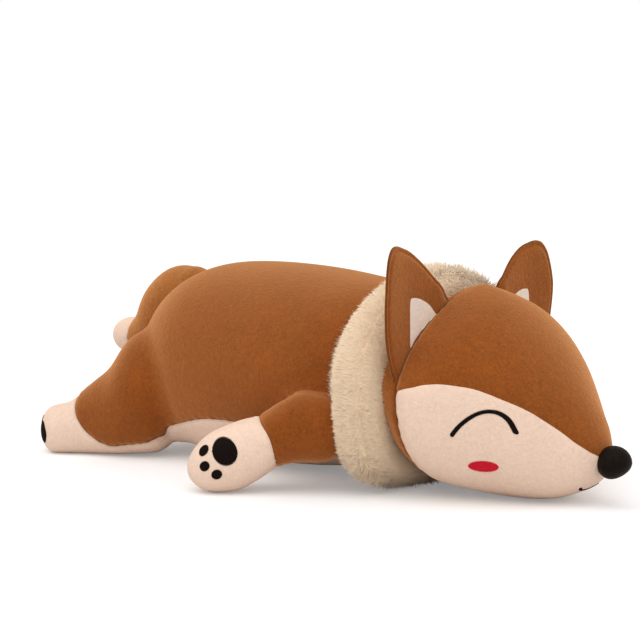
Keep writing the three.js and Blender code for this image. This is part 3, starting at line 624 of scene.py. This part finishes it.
def head_surface(along, around):
    distance = along * (nape_radius + muzzle_length) - nape_radius
    share = np.clip(distance / muzzle_length, 0, 1)
    width, top, bottom, lower, upper = smooth_rows(muzzle_rows)(share)
    opening = rounded(muzzle_length - distance, muzzle_rounding) * ball_end(distance, nape_radius)
    lower = np.where(distance < 0, 2 + 0.5 * ramp(distance, -lower_blend, 0), lower)
    upper = 2 + (upper - 2) * np.sqrt(ramp(distance, -upper_blend, 0))
    across, above = cut_across(
        around, opening, width * head_half_width, top * head_top, bottom * head_top, (upper, lower))
    return np.stack([neck.x + distance, across, above], 1)


def face_gap(points):
    return points[:, 0] - face_x


def cheek_gap(points):
    line = line_through(cheek_line) * [muzzle_length, head_top] + [neck.x, 0]
    return gap_to(line, points[:, 0], points[:, 2])


def either_gap(points):
    return np.minimum(np.abs(face_gap(points)), np.abs(cheek_gap(points)))


face_brown = plush("face_brown_plush", (0.258, 0.063, 0.0072), seam_shade=0.75)
head_skin = stuffed(head_surface, turns=144, rings=150)
lie_flat(head_skin)
finer_near(head_skin, either_gap, fine_reach)
face_seam = lay_seam(head_skin, face_gap)
cheek_seam = lay_seam(head_skin, cheek_gap, on_seam(face_seam))
head_skin.normal_update()
for vert, gap in zip(head_skin.verts, face_seam):
    if gap < 0:
        swell = nape_swell * ramp(vert.co.z, *swell_begins) * ramp(vert.co.z, *swell_ends)
        swell -= crown_sink * ramp(vert.co.z, *crown_begins)
        vert.co += vert.normal * swell * math.exp(-(((gap + swell_behind) / swell_width) ** 2))
sink_seam(head_skin, face_seam, depth=0.0016, width=0.002)
sink_seam(head_skin, np.where(face_seam < 0, 1, cheek_seam), depth=0.0006, width=0.0016)
lie_flat(head_skin)
cheek_reach = np.where(face_seam < behind_face, 1, np.abs(cheek_seam) + cheek_fade)
note_gap(head_skin, np.minimum(np.abs(face_seam), cheek_reach))
head_tree = BVHTree.FromBMesh(head_skin)
before_seam = face_sides(head_skin, face_seam) > 0
above_seam = face_sides(head_skin, cheek_seam) > 0
to_left = face_middles(head_skin)[:, 1] > 0
nape = sewn_piece(
    cut_out(head_skin, ~before_seam), "nape_skin", brown, ["nape_panel", "head_stuffing"], "head")
forehead = sewn_piece(
    cut_out(head_skin, before_seam & above_seam), "forehead_skin", face_brown,
    ["forehead_panel"], "head")
for side, hand in hands:
    on_side = to_left if side > 0 else ~to_left
    cheek = sewn_piece(
        cut_out(head_skin, before_seam & ~above_seam & on_side), f"cheek_skin_{hand}", cream,
        [f"cheek_{hand}"], "head")


# Nose: a small stuffed ball of black plush with a little shine, sewn over the tip of the muzzle and
# drawn in below.
nose_radius, nose_half_height, nose_ahead, nose_z = 0.0139, 0.0134, 0.0052, 0.0356
nose_middle = np.array([neck.x + muzzle_length + nose_ahead, 0, nose_z])
skin_lift = 0.0003


def seat_on(skin, tree, lift=skin_lift, outward=None):
    """Moves whatever lies inside a neighbour out to its skin, at its nearest or in one direction."""
    for vert in skin.verts:
        spot, normal, _, _ = tree.find_nearest(vert.co)
        if (vert.co - spot).dot(normal) < lift:
            if outward:
                spot = tree.ray_cast(vert.co + outward * 0.3, -outward)[0] or spot
            vert.co = spot + (outward or normal) * lift


def nose_surface(along, around):
    """A ball, drawn in by a fifth at its lower front."""
    x = (2 * along - 1) * nose_radius
    opening = np.sqrt(np.clip(1 - (2 * along - 1) ** 2, 0, 1))
    across, up = oval(around, nose_radius * opening, nose_half_height * opening)
    drawn_in = 1 - 0.2 * ramp(-up, 0, nose_half_height) * ramp(x, -0.3 * nose_radius, 0.7 * nose_radius)
    return np.stack([x * drawn_in, across, up * drawn_in], 1) + nose_middle


black_plush = plush(
    "black_plush", (0.009, 0.005, 0.003), sheen=0, grain=1.2, roughness=0.55, gloss=0.06)
nose_skin = stuffed(nose_surface, turns=48, rings=36)
seat_on(nose_skin, head_tree)
note_gap(nose_skin, np.ones(len(nose_skin.verts)))
nose = sewn_piece(nose_skin, "nose_ball", black_plush, ["nose"], "head")


# Eyes, blush and mouth: satin stitch in glossy thread, each stitch laid across the line or the oval
# and pulled tight into the plush.
# Each row: along the muzzle and above the floor, as shares of the muzzle's length and the head's top
eye_line = [
    [0.272, 0.339], [0.325, 0.388], [0.385, 0.428], [0.439, 0.451], [0.489, 0.457], [0.539, 0.446],
    [0.584, 0.414], [0.622, 0.355],
]
eye_width, thread_width, thread_pitch = 0.0032, 0.0006, 0.00042
blush_place, blush_half_width, blush_half_height = (0.415, 0.196), 0.0105, 0.005
# Each row: along and across the muzzle, as shares of the mouth's half width
mouth_line = [[-0.2, -1], [-0.42, -0.6], [-0.5, 0], [-0.42, 0.6], [-0.2, 1]]
mouth_half_width, mouth_width, mouth_inset = 0.013, 0.0026, 0.0139
# Stitches drop on to the skin from this far beside the head, or from this height under it
from_beside, from_below = 0.2, -0.05
thread_clearance, thread_proud, line_step, end_roundness = 0.0002, 0.35, 0.0005, 0.85


def thread(name, colour):
    """Spun thread, as a material and its name: fine ply lines and an even soft gloss."""
    material, tree, shader = new_material(name)
    place = shading(tree, "TexCoord", {}, output="Object")
    ply = shading(tree, "TexNoise", {"Vector": place, "Scale": 900, "Detail": 2}, output="Fac")
    tone = shading(tree, "MapRange", {"Value": ply, "To Min": 0.65, "To Max": 1.35})
    dye_and_shade(tree, shader, colour, tone)
    feed(tree, shader, {"Roughness": 0.55, "Specular IOR Level": 0.06})
    return material, name


def satin_stitches(stitches, tree, drop, rings=8):
    """Threads laid over a skin. Each stitch is a pair of ends outside it, which drop on to it."""
    threads = bmesh.new()
    for start, end in stitches:
        start, end = Vector(start), Vector(end)
        made = bmesh.ops.create_uvsphere(threads, u_segments=6, v_segments=rings, radius=1)["verts"]
        for vert in made:
            share = (1 + vert.co.z) / 2
            spot, normal, _, _ = tree.ray_cast(start.lerp(end, share), drop)
            if spot is None:
                spot, normal, _, _ = tree.find_nearest(start.lerp(end, share))
            sideways = normal.cross(end - start).normalized()
            girth = (1 - abs(vert.co.z) ** 5) ** 0.5 * thread_width / 2
            turn = math.atan2(vert.co.y, vert.co.x) if abs(vert.co.z) < 0.999 else 0
            rise = thread_clearance + girth * (thread_proud + math.sin(turn))
            vert.co = spot + normal * rise + sideways * girth * math.cos(turn)
    bmesh.ops.recalc_face_normals(threads, faces=threads.faces)
    return threads


def walked_along(line):
    """How far along a line each of its points lies."""
    return np.concatenate([[0], np.cumsum(np.linalg.norm(np.diff(line, axis=0), axis=1))])


def at_walk(walk, walked, line):
    """The points of a flat line at given distances along it."""
    return np.stack([np.interp(walk, walked, column) for column in line.T], -1)


def stitches_along(line, width, place_of, slant=0.0):
    """Short stitches side by side along a line, as long as it is wide and rounded off at its ends."""
    walked = walked_along(line)
    found = []
    for walk in np.linspace(0, walked[-1], int(walked[-1] / thread_pitch)):
        before, middle, after = at_walk(walk + np.array([-line_step, 0, line_step]), walked, line)
        ahead = (after - before) / np.linalg.norm(after - before)
        side = np.array([-ahead[1], ahead[0]]) + slant * ahead
        to_end = min(walk, walked[-1] - walk) / (width / 2)
        half = width / 2 * math.sqrt(1 - (1 - min(to_end, 1)) ** 2 * end_roundness)
        found.append((place_of(*(middle - side * half)), place_of(*(middle + side * half))))
    return found


def stitches_over(half_width, half_height, place_of, lean=0.3):
    """Stitches side by side over an oval, from edge to edge."""
    found = []
    for across in np.arange(-half_width + thread_pitch / 2, half_width, thread_pitch):
        half = half_height * math.sqrt(1 - (across / half_width) ** 2)
        found.append((place_of(across - lean * half, -half), place_of(across + lean * half, half)))
    return found


black_thread = thread("black_thread", (0.008, 0.004, 0.003))
red_thread = thread("blush_thread", (0.66, 0.014, 0.036))
for side, hand in hands:
    drop = Vector((0, -side, 0))

    def beside_at(x, z):
        return (x, side * from_beside, z)

    line = line_through(eye_line) * [muzzle_length, head_top] + [neck.x, 0]
    eye = satin_stitches(stitches_along(line, eye_width, beside_at, slant=0.3), head_tree, drop)
    sewn_piece(eye, f"eye_stitches_{hand}", black_thread, [f"eye_{hand}"], "head")
    blush_x, blush_z = neck.x + blush_place[0] * muzzle_length, blush_place[1] * head_top
    oval_stitches = stitches_over(
        blush_half_width, blush_half_height, lambda a, u: beside_at(blush_x + a, blush_z + u))
    blush = satin_stitches(oval_stitches, head_tree, drop, rings=10)
    sewn_piece(blush, f"blush_stitches_{hand}", red_thread, [f"blush_{hand}"], "head")
mouth_x = neck.x + muzzle_length - mouth_inset
line = line_through(mouth_line) * mouth_half_width + [mouth_x, 0]
mouth = satin_stitches(
    stitches_along(line, mouth_width, lambda x, y: (x, y, from_below)), head_tree, Vector((0, 0, 1)))
sewn_piece(mouth, "mouth_stitches", black_thread, ["mouth"], "head")


# Ears: a leaf of brown plush front and back, joined round the rim, turned out and topstitched, with
# a cream lining let into the front. Each stands on the seam behind the face and is lightly cupped.
ear_width, ear_height, ear_inner, ear_foot_z, ear_lean = 0.080, 0.105, 0.036, 0.098, math.radians(1.6)
ear_thickness, ear_cup, cup_middle, cup_reach = 0.0075, 0.007, 0.45, 0.55
# An ear's foot is pushed out of the head in this direction, outwards and upwards
push_out, push_up = 0.69, 0.72
hem_depth, hem_place, hem_width = 0.0011, 0.93, 0.022
rim_reach, rim_fade = 0.03, 0.0006
# Each row: across from the inner edge and up from the foot, as shares of the width and the height
ear_outline = [
    [-0.075, 0.4], [0, 0.63], [0.14, 0.735], [0.325, 0.86], [0.5, 0.945], [0.64, 0.98], [0.74, 0.995],
    [0.83, 0.985], [0.89, 0.945], [0.94, 0.87], [0.985, 0.72], [1, 0.55], [0.965, 0.3], [0.88, 0.1],
    [0.8, 0], [0.61, -0.08],
]
lining_outline = [
    [0.1, 0.35], [0.216, 0.49], [0.3, 0.55], [0.42, 0.59], [0.52, 0.6], [0.575, 0.575], [0.585, 0.4],
    [0.58, 0.19], [0.5, 0.1],
]
leaf_middle = np.array([0.5, 0.42])
ear_foot = np.array([face_x, 0, ear_foot_z])
ear_up = np.array([-math.sin(ear_lean), 0, math.cos(ear_lean)])
ear_back = -np.cross([0, 1, 0], ear_up)
ear_cream = plush(
    "ear_cream_plush", (0.93, 0.78, 0.66), sheen=0.08, grain=0.3, mottle=0.25, seam_shade=0.35)
rim = line_through(ear_outline, closed=True, steps=12)
rim_walk = walked_along(rim)
lining = line_through(lining_outline, closed=True) * [ear_width, ear_height]


def ear_leaf(side):
    """The whole ear in one skin: two puffed faces round a stitched hem, cupped forwards at its sides."""
    leaf = bmesh.new()
    bmesh.ops.create_uvsphere(leaf, u_segments=128, v_segments=64, radius=1)
    x, y, z = places(leaf).T
    spread = np.hypot(x, y)
    edge = at_walk((np.arctan2(y, x) / (2 * math.pi) % 1) * rim_walk[-1], rim_walk, rim)
    across, up = (leaf_middle + (edge - leaf_middle) * spread[:, None]).T
    puff = np.sqrt(np.clip(1 - spread ** 5, 0, 1)) * ear_thickness / 2
    hem = hem_depth * np.exp(-((spread - hem_place) / hem_width) ** 2)
    depth = ear_thickness / 2 + np.where(z > 0, -1, 1) * (puff - hem)
    depth -= ear_cup * np.clip((across - cup_middle) / cup_reach, -0.6, 1) ** 2 * np.clip(up + 0.35, 0, 1)
    sideways = (ear_inner + across * ear_width)[:, None] * np.array([0, side, 0])
    move_to(leaf, ear_foot + sideways + (up * ear_height)[:, None] * ear_up + depth[:, None] * ear_back)
    bmesh.ops.recalc_face_normals(leaf, faces=leaf.faces)
    if leaf.calc_volume(signed=True) < 0:
        bmesh.ops.reverse_faces(leaf, faces=leaf.faces)
    # The distance from the rim sets painted shade along the ear's hem
    note_gap(leaf, np.abs(1 - spread) * rim_reach + rim_fade)
    return leaf


for side, hand in hands:
    leaf = ear_leaf(side)

    def lining_gap(points):
        away = points - ear_foot
        return gap_to(lining, away @ [0, side, 0] - ear_inner, away @ ear_up)

    finer_near(leaf, lining_gap, reach=0.005)
    lay_seam(leaf, lining_gap)
    leaf.normal_update()
    faces_front = np.array([face.normal.dot(Vector(ear_back)) < 0 for face in leaf.faces])
    in_lining = faces_front & (lining_gap(face_middles(leaf)) < 0)
    outward = push_out * np.array([0, side, 0]) + push_up * ear_up
    seat_on(leaf, head_tree, outward=Vector(outward))
    parts = [
        ("ear_front", faces_front & ~in_lining, face_brown),
        ("ear_lining", in_lining, ear_cream),
        ("ear_back", ~faces_front, brown),
    ]
    for name, wanted, cloth in parts:
        piece = sewn_piece(cut_out(leaf, wanted), f"{name}_skin_{hand}", cloth, [f"{name}_{hand}"])
        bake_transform(piece)


# Paw pads: a palm and three toes in black satin stitch on the outer side of each paw. Their stitches
# lie side by side and run from the lower edge to the upper one.
pad_along, pad_height, pad_radius, toe_radius = 0.075, 0.0365, 0.0102, 0.0042
palm_tallness, palm_slant, from_outside = 1.12, 0.1, 0.08
# Each row: along and above the pad as shares of its radius, half width, half height and slant
toe_places = [[1.69, 0, 0.85, 1.07, -0.4], [1.6, -1.17, 0.95, 1.03, -0.15], [0.645, -1.8, 1.02, 1.03, -0.1]]


def stitched_pads(pads, hand, base, onward, drop, body=None):
    """Pads drawn on a plane outside the plush, from where their stitches drop on to it."""
    made = []
    for name, shift, rise, half_width, half_height, slant in pads:
        middle = base + shift * onward + [0, 0, rise]
        flat_stitches = stitches_over(
            half_width, half_height, lambda a, u: middle + a * onward + [0, 0, u], slant)
        pad = satin_stitches(flat_stitches, body_tree, Vector(drop), rings=12)
        made.append(sewn_piece(pad, f"{name}_stitches_{hand}", black_thread, [f"{name}_{hand}"], body))
    return made


paw_pads = [("palm_pad", 0, 0, pad_radius, palm_tallness * pad_radius, palm_slant)]
for index, (along, rise, narrow, tall, slant) in enumerate(toe_places):
    paw_pads.append((
        f"toe_pad_{index + 1}", along * pad_radius, rise * pad_radius, narrow * toe_radius,
        tall * toe_radius, slant))
for side, hand in hands:
    root, direction, sideways = foreleg_frame(side)
    outer = -side * sideways
    base = root * [1, 1, 0] + pad_along * direction + outer * from_outside + [0, 0, pad_height]
    for pad in stitched_pads(paw_pads, hand, base, direction, -outer):
        follow_foreleg(pad)


# Hind soles: a pad and three toes in black satin stitch on the ends of the cream socks, which are
# turned a little outwards.
sole_height, sole_shift, sole_radius, sole_toe_radius = 0.020, 0.008, 0.009, 0.0036
sole_tallness, sole_slant, from_behind = 1.15, 0.15, 0.05
# Each row: towards the middle and above the pad, as shares of its radius
sole_toes = [[1.15, 1.2], [1.65, 0.25], [1.4, -0.7]]
sole_pads = [("sole_pad", -sole_shift, 0, sole_radius, sole_tallness * sole_radius, sole_slant)]
for index, (shift, rise) in enumerate(sole_toes):
    sole_pads.append((
        f"sole_toe_{index + 1}", shift * sole_radius - sole_shift, rise * sole_radius,
        sole_toe_radius, sole_toe_radius, sole_slant))
for side, hand in hands:
    root, direction, sideways = hind_frame(side)
    base = root + (hind_length + from_behind) * direction + [0, 0, sole_height]
    stitched_pads(sole_pads, hand, base, side * sideways, -direction, "torso")


# Tail: a fat stuffed brush of brown plush that hangs over the rump, with a cream tip sewn on. Its root
# is sewn to the back panel.
tail_root = np.array(joints["tail_swing"]["pos_m"])
tail_end = np.array([ruff_x - 0.418, 0, 0.101])
tail_root_radius, tail_girth, tail_rounding, tail_step, tip_fade = 0.023, 0.026, 0.020, 0.004, 0.0006
tail_tip_x = tail_end[0] + 0.035
tail_bends = [[0, 0], [0.16, 0.06], [0.31, 0.33], [0.44, 0.73], [0.61, 1], [0.8, 1.04], [1, 1]]
tail_rows = [[0, 0.85], [0.2, 1], [0.45, 1], [0.6, 0.86], [0.8, 0.72], [1, 0.62]]
spine_shares = line_through(tail_bends, steps=16)
spine = np.stack([
    tail_root[0] + spine_shares[:, 0] * (tail_end[0] - tail_root[0]),
    tail_root[2] + spine_shares[:, 1] * (tail_end[2] - tail_root[2]),
], 1)
spine_walk = walked_along(spine)


def unit(vectors):
    return vectors / np.linalg.norm(vectors, axis=1)[:, None]


def tail_surface(along, around):
    distance = along * (tail_root_radius + spine_walk[-1]) - tail_root_radius
    walk = np.clip(distance, 0, spine_walk[-1])
    x, z = at_walk(walk, spine_walk, spine).T
    ahead, behind = (at_walk(walk + shift, spine_walk, spine) for shift in (tail_step, -tail_step))
    step = unit(np.insert(ahead - behind, 1, 0, axis=1))
    girth, = smooth_rows(tail_rows)(walk / spine_walk[-1])
    radius = girth * tail_girth * rounded(spine_walk[-1] - distance, tail_rounding)
    radius = radius * ball_end(distance, tail_root_radius)
    across, up = oval(around, radius, radius)
    middle = np.stack([x, np.zeros_like(x), z], 1) + np.minimum(distance, 0)[:, None] * step
    return middle + across[:, None] * np.array([0, 1, 0]) + up[:, None] * np.cross(step, [0, 1, 0])


def tip_gap(points):
    return points[:, 0] - tail_tip_x


tail_brown = plush("tail_brown_plush", (0.35, 0.12, 0.028))
tail_skin = stuffed(tail_surface, turns=72, rings=110)
finer_near(tail_skin, tip_gap, reach=0.005)
tail_seam = lay_seam(tail_skin, tip_gap)
sink_seam(tail_skin, tail_seam, depth=0.0012, width=0.002)
seat_on(tail_skin, body_tree)
note_gap(tail_skin, np.abs(tail_seam) + tip_fade)
brushed = face_sides(tail_skin, tail_seam) > 0
brush = sewn_piece(
    cut_out(tail_skin, brushed), "brush_skin", tail_brown, ["tail_brush", "tail_stuffing"])
tip = sewn_piece(cut_out(tail_skin, ~brushed), "tip_skin", cream, ["tail_tip"])
for part in (brush, tip):
    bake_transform(part)


# Ruff: a roll of long cream fur sewn round the neck, thick and full, that sags on to the floor under
# the fox. Its pile is a little over a centimetre of soft strands in loose locks, and is pressed close
# along the roll's middle.
ruff_half_width, ruff_height, ruff_half_length, ruff_depth = 0.117, 0.180, 0.021, 0.048
ruff_middle = np.array([ruff_x - 0.008, 0, 0.0905])
ring_squareness, roll_squareness, backing_lift = (2, 4.5), (2.3, 2.3), 0.0005
strand_length, strand_width, strands_each, lock_count = 0.0115, 0.00042, 21500, 2600
ruff_parts, crest_thinning, root_reach = 4, 0.68, 0.002
length_spread, width_spread, tone_spread = (0.7, 1.25), (0.8, 1.3), (0.93, 1.05)
lock_pull, lock_lean, strand_lean, strand_flatness, strand_flare = 0.15, 0.1, 0.12, 0.4, 0.35
# The strands' roots lie between these turns round the roll, thinner along its middle
pile_begins, pile_ends, crest_middle, crest_edge, crest_fade = -0.6 * math.pi, 0.85 * math.pi, 0.1, 1.15, 0.35


def ruff_surface(around, bend):
    """Points of the roll, by how far round the neck and how far round the roll they lie."""
    pile = ruff_depth / 2
    across, up = oval(around, ruff_half_width - pile, ruff_height / 2 - pile, *ring_squareness)
    ring = np.stack([np.zeros_like(across), across, up], 1)
    outward = unit(ring)
    out, along = oval(bend, pile, ruff_half_length, *roll_squareness)
    return ruff_middle + ring + out[:, None] * outward + along[:, None] * np.array([-1, 0, 0])


quarter = np.linspace(0, 1, 400) ** 3 * math.pi / 2
ring_turns = np.unique(np.concatenate(
    [quarter, math.pi - quarter, math.pi + quarter, 2 * math.pi - quarter]))
ring_walk = walked_along(ruff_surface(ring_turns, 0 * ring_turns))


def round_the_neck(share):
    """The turn at an even share of the way round the roll."""
    return np.interp(share % 1 * ring_walk[-1], ring_walk, ring_turns)


def on_crest(bend):
    """1 along the middle of the roll's outer side, and 0 beside it."""
    return ramp(np.abs(bend - crest_middle), crest_edge, crest_edge - crest_fade)


def fur(name, colour):
    """Long pile: shaded at the root, pale at the tip, each strand a little different."""
    material, tree, shader = new_material(name)
    # Painted shade: darker at the strands' roots and paler at their tips
    height = shading(tree, "MapRange", {"Value": noted(tree, "to_tip"), "To Min": 0.93, "To Max": 1.03})
    dye_and_shade(tree, shader, colour, shading(tree, "Math", {0: height, 1: noted(tree, "tone")}, "MULTIPLY"))
    feed(tree, shader, {"Roughness": 0.9, "Specular IOR Level": 0.15, "Sheen Weight": 0.1})
    return material


roll = bmesh.new()
ring = bmesh.ops.create_circle(roll, segments=40, radius=0.3)["verts"]
bmesh.ops.rotate(roll, verts=ring, cent=(0, 0, 0), matrix=Matrix.Rotation(math.pi / 2, 3, "X"))
bmesh.ops.translate(roll, verts=ring, vec=(1, 0, 0))
bmesh.ops.spin(
    roll, geom=[*roll.edges, *roll.verts], cent=(0, 0, 0), axis=(0, 0, 1), angle=2 * math.pi,
    steps=120, use_merge=True, use_duplicate=False)
bmesh.ops.remove_doubles(roll, verts=roll.verts, dist=1e-5)
x, y, z = places(roll).T
out = np.hypot(x, y) - 1
move_to(roll, ruff_surface(round_the_neck(np.arctan2(y, x) / (2 * math.pi)), np.arctan2(z, out)))
for _ in range(2):
    seat_on(roll, body_tree, backing_lift)
    seat_on(roll, head_tree, backing_lift)
lie_flat(roll)
bmesh.ops.recalc_face_normals(roll, faces=roll.faces)
roll_tree = BVHTree.FromBMesh(roll)
note_gap(roll, np.ones(len(roll.verts)))
ruff_cloth, _ = plush("ruff_backing", (0.97, 0.73, 0.49), sheen=0.08, grain=0.35, mottle=0.5)
backing = sewn_piece(roll, "ruff_backing", (ruff_cloth, "ruff_fur"), ["ruff"])
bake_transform(backing)

strand = bmesh.new()
bmesh.ops.create_cone(strand, segments=3, radius1=1, radius2=0, depth=1, cap_ends=False)
bmesh.ops.translate(strand, verts=strand.verts, vec=(0, 0, 0.5))
bmesh.ops.remove_doubles(strand, verts=strand.verts, dist=1e-4)
whole_strand = [*strand.verts, *strand.edges, *strand.faces]
bmesh.ops.bisect_plane(strand, geom=whole_strand, plane_co=(0, 0, 0.5), plane_no=(0, 0, 1))
strand_points = places(strand)
strand.verts.index_update()
strand_faces = [[vert.index for vert in face.verts] for face in strand.faces]
ruff_fur = fur("ruff_fur", (0.99, 0.76, 0.53))
chance = np.random.default_rng(7)
for part in range(ruff_parts):
    around = round_the_neck(chance.uniform(part, part + 1, strands_each * 3) / ruff_parts)
    bend = chance.uniform(pile_begins, pile_ends, strands_each * 3)
    wanted = chance.uniform(0, 1, len(bend)) > crest_thinning * on_crest(bend)
    around, bend = around[wanted], bend[wanted]
    onward = unit(ruff_surface(around, bend + 0.05) - ruff_surface(around, bend - 0.05))
    found = []
    for index, point in enumerate(ruff_surface(around, bend)):
        spot, normal, _, gap = roll_tree.find_nearest(Vector(point))
        if gap < root_reach and point[2] > root_reach and len(found) < strands_each:
            found.append((index, spot, normal))
    kept = [index for index, _, _ in found]
    roots = np.array([spot for _, spot, _ in found])
    ups = np.array([normal for _, _, normal in found])
    bend, onward, count = bend[kept], onward[kept], len(found)
    crest = on_crest(bend)

    # The pile is brushed away from the crest to both sides, and stands up where it turns over them
    swept = np.clip((bend + 0.75) / 0.3, -1, 1) * np.clip((1.75 - np.abs(bend)) / 0.9, 0.1, 1) * 0.85
    swept += 0.5 * np.sign(bend - crest_middle) * crest + 0.45 * ramp(bend, 1.7, 2.0)
    rising = (1 - 0.6 * np.clip(np.abs(swept), 0, 1)) * (1 - 0.84 * crest)
    heading = ups * rising[:, None] + onward * swept[:, None]
    locks = KDTree(lock_count)
    picked = chance.choice(count, lock_count, replace=False)
    for index, root in enumerate(picked):
        locks.insert(Vector(roots[root]), index)
    locks.balance()
    lock_of = np.array([locks.find(Vector(root))[1] for root in roots])
    lean = chance.normal(0, lock_lean, (lock_count, 3))[lock_of]
    heading = unit(heading + (lean + chance.normal(0, strand_lean, (count, 3))))
    fringe = np.clip((bend + 1.2) / 0.6, 0.6, 1) * (1 - 0.3 * crest)
    length = strand_length * fringe * chance.uniform(*length_spread, count)
    tip = heading * length[:, None] + (roots[picked][lock_of] - roots) * lock_pull
    tip[:, 2] = np.maximum(tip[:, 2], 0.0005 - roots[:, 2])
    bow = unit(np.cross(heading, chance.normal(0, 1, (count, 3)))) * 0.1 * length[:, None] + ups * 0.0007
    side_one = unit(np.cross(heading, ups + chance.normal(0, 0.1, (count, 3))))
    side_two = np.cross(heading, side_one) * strand_flatness
    width = strand_width * chance.uniform(*width_spread, count)

    made = np.empty((count, len(strand_points), 3))
    leans = np.empty_like(made)
    for index, (x, y, z) in enumerate(strand_points):
        outside = side_one * x + side_two * y
        flare = width * (1 + strand_flare * z)
        made[:, index] = roots + tip * z + bow * (4 * z * (1 - z)) + outside * flare[:, None]
        leans[:, index] = ups * 0.85 + outside * 0.2 + [0, 0, 0.1]
    made[:, :, 2] = np.maximum(made[:, :, 2], 0.0002)
    mesh = bpy.data.meshes.new(f"ruff_fur_{part + 1}")
    starts = np.arange(count) * len(strand_points)
    faces = [[start + i for i in face] for start in starts for face in strand_faces]
    mesh.from_pydata(made.reshape(-1, 3), [], faces)
    to_tip = np.tile(strand_points[:, 2], count)
    tone = np.repeat(chance.uniform(*tone_spread, count), len(strand_points))
    for name, values in (("to_tip", to_tip), ("tone", tone)):
        layer = mesh.attributes.new(name, "FLOAT", "POINT")
        layer.data.foreach_set("value", values.astype(np.float32))
    mesh.shade_smooth()
    mesh.normals_split_custom_set_from_vertices(unit(leans.reshape(-1, 3)))
    mesh.materials.append(ruff_fur)
    pile = in_scene(f"ruff_fur_{part + 1}", mesh)
    pile.visible_shadow = False
    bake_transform(pile)


# Studio: a pale floor that runs to the horizon, a wide soft lamp overhead, and a camera where the
# photograph's was.
floor_half_size, floor_drop, floor_lift = 30, 0.0003, 0.24
camera_place = (0.8847, -1.0047, 0.246)
camera_turn, camera_fall = math.radians(42), math.radians(4.95)
floor_mesh = bpy.data.meshes.new("floor")
floor_shape = bmesh.new()
bmesh.ops.create_grid(floor_shape, x_segments=1, y_segments=1, size=floor_half_size)
bmesh.ops.translate(floor_shape, verts=floor_shape.verts, vec=(0, 0, -floor_drop))
floor_shape.to_mesh(floor_mesh)
in_scene("floor", floor_mesh)


def seen_directly(tree):
    """1 where the camera, a reflection or clear material looks straight at it, and 0 for its light."""
    path = tree.nodes.new("ShaderNodeLightPath").outputs
    total = path["Is Camera Ray"]
    for name in ("Is Glossy Ray", "Is Transmission Ray"):
        total = shading(tree, "Math", {0: total, 1: path[name]}, "MAXIMUM")
    return total


floor_paint, tree, matt = new_material("floor_paint")
feed(tree, matt, {"Base Color": (0.82, 0.82, 0.82, 1), "Roughness": 1, "Specular IOR Level": 0})
lift = shading(tree, "Math", {0: seen_directly(tree), 1: floor_lift}, "MULTIPLY")
glow = shading(tree, "Emission", {"Strength": lift})
surface = shading(tree, "AddShader", {0: matt.outputs[0], 1: glow})
feed(tree, tree.nodes["Material Output"], {"Surface": surface})
floor_mesh.materials.append(floor_paint)

world = bpy.data.worlds.new("studio")
bpy.context.scene.world = world
world.use_nodes = True
tree = world.node_tree
level = shading(tree, "MapRange", {"Value": seen_directly(tree), "To Min": 0.75, "To Max": 1})
feed(tree, tree.nodes["Background"], {"Color": (1, 1, 1, 1), "Strength": level})

lamp = bpy.data.lights.new("overhead", "SUN")
lamp.energy, lamp.angle = 1.15, math.radians(60)
overhead = in_scene("overhead", lamp)
overhead.rotation_euler = Vector((-0.15, 0.45, -1)).to_track_quat("-Z", "Y").to_euler()

camera = in_scene("camera", bpy.data.cameras.new("camera"))
camera.data.lens, camera.data.sensor_width = 84.375, 36
camera.location = camera_place
camera.rotation_euler = math.pi / 2 - camera_fall, 0, camera_turn
bpy.context.scene.camera = camera
bpy.context.scene.view_settings.view_transform = "Standard"
